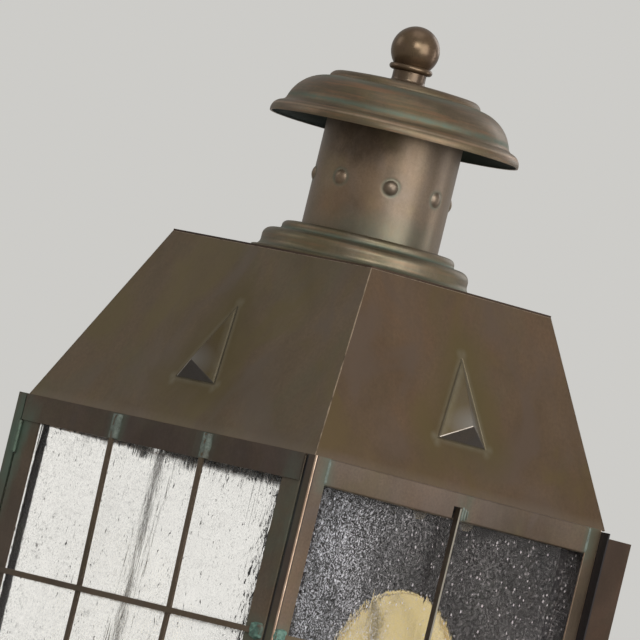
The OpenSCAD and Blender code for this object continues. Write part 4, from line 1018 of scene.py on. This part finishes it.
bm = bmesh.new()
for sx in BOTH:
    for sz in (1, -1):
        for k, y in enumerate((POST_BACK, REAR_POST_Y)):
            solder_pad(bm, (sx * HALF_W, y, sz * (EAVE - 7.2)), (sx, 0, 0), 1.8, 13.5, 0.3, 7.1 + k + sx + sz)
        for k, (off, w, h) in enumerate(((0.9, 1.7, 8), (2.7, 1.2, 7), (4.2, 0.8, 5.5))):
            at = sx * HALF_W, BAR_BACK + off, sz * (EAVE - 10.7)
            solder_pad(bm, at, (sx, 0, 0), w, h, 0.5, 1.7 + sx + sz + k)
build("rail_solder", bm, [SEAM_GREEN])

bm = bmesh.new()
for sx in BOTH:
    for k, z in enumerate(ROWS):
        for y in (FRONT + 4.4, REAR - 4.4):
            solder_pad(bm, (sx * HALF_W, y, z), (sx, 0, 0), 8.2, 8, 2.0, 2.9 * k + y * 0.1 + sx)
build("frame_solder", bm, [GREEN])

# Camera fitted to the photograph: its azimuth, pitch and roll, and where the eave's middle lies in its view
AZ, PITCH, ROLL = (math.radians(v) for v in (51.05, 2.05, 13.69))
FOCAL_PX, IMAGE_PX, SENSOR = 9567.0, 640, 36.0
EAVE_IN_VIEW = Vector((-2.5, 76.2, 5135.6))


def photo_camera():
    """The camera that took the photograph."""
    forward = Vector((-math.sin(AZ) * math.cos(PITCH), math.cos(AZ) * math.cos(PITCH), math.sin(PITCH)))
    right = Vector((math.cos(AZ), math.sin(AZ), 0))
    up = right.cross(forward)
    c, s = math.cos(ROLL), math.sin(ROLL)
    row_x, row_y = right * c + up * s, right * s - up * c
    place = Vector((0, ROOF_Y, EAVE)) - Matrix((row_x, row_y, forward)).transposed() @ EAVE_IN_VIEW
    cam = add_object("camera", bpy.data.cameras.new("camera"))
    cam.data.sensor_width = SENSOR
    cam.data.lens = FOCAL_PX * SENSOR / IMAGE_PX
    cam.data.clip_end = 100
    turn = Matrix((row_x, -row_y, -forward)).transposed().to_4x4()
    cam.matrix_world = Matrix.Translation(place * MM) @ turn
    bpy.context.scene.camera = cam


# Lights, floor and background
LIT_MIDDLE = Vector((0, -0.12, 0.15))
AIR, BACKDROP, THROUGH_GLASS = (0.84, 0.82, 0.79), (0.61, 0.603, 0.58), (0.87, 0.855, 0.825)
FLOOR_HALF, FLOOR_Z, FLOOR_CELLS = 12000, -6500, 24


def area(name, where, size, power):
    """A soft lamp that faces the lantern."""
    data = bpy.data.lights.new(name, "AREA")
    data.shape = "RECTANGLE"
    data.size, data.size_y = size
    data.energy = power
    ob = add_object(name, data)
    ob.location = where
    ob.rotation_euler = (LIT_MIDDLE - Vector(where)).to_track_quat("-Z", "Y").to_euler()


def with_backdrop(g, look, kind):
    """The look for light, and the backdrop's colours for what the camera sees directly and through glass."""
    ray = g.new("ShaderNodeLightPath")
    for seen, colour in (("Is Camera Ray", BACKDROP), ("Is Transmission Ray", THROUGH_GLASS)):
        look = g.blend(ray.outputs[seen], look, g.shader(kind, color=colour))
    return look


def pale_floor():
    """The matt pale floor, as bright as the backdrop to the camera."""
    g = Graph("floor")
    colour = g.mix(g.step(g.noise(3, 4, 0.6), 0.35, 0.7), (0.76, 0.76, 0.75), (0.73, 0.73, 0.72))
    return g.done(with_backdrop(g, g.shader(base_color=colour, roughness=0.8), "Emission"))


def background():
    g = Graph("world", world=True)
    return g.done(with_backdrop(g, g.shader("Background", color=AIR, strength=0.44), "Background"))


photo_camera()
area("key_right", (3.0, -0.1, 1.0), (2.2, 2.4), 60)
area("fill_left", (-2.4, -2.4, 1.6), (1.6, 1.6), 8)
area("fill_near", (2.5, -1.9, 1.7), (1.3, 1.3), 38)
area("rim_rear", (1.2, 2.8, 0.3), (0.5, 1.6), 8)
area("top", (0.2, -0.4, 2.6), (1.6, 1.6), 6)
area("rear", (-0.8, 2.7, 1.4), (1.2, 1.6), 10)

bm = bmesh.new()
surface(bm, FLOOR_CELLS, FLOOR_CELLS, lambda u, v: (u * FLOOR_HALF, v * FLOOR_HALF, FLOOR_Z))
floor = add_object("floor", to_mesh("floor", bm))
floor.data.materials.append(pale_floor())

bpy.context.scene.world = background()
bpy.context.scene.view_settings.view_transform = "Standard"
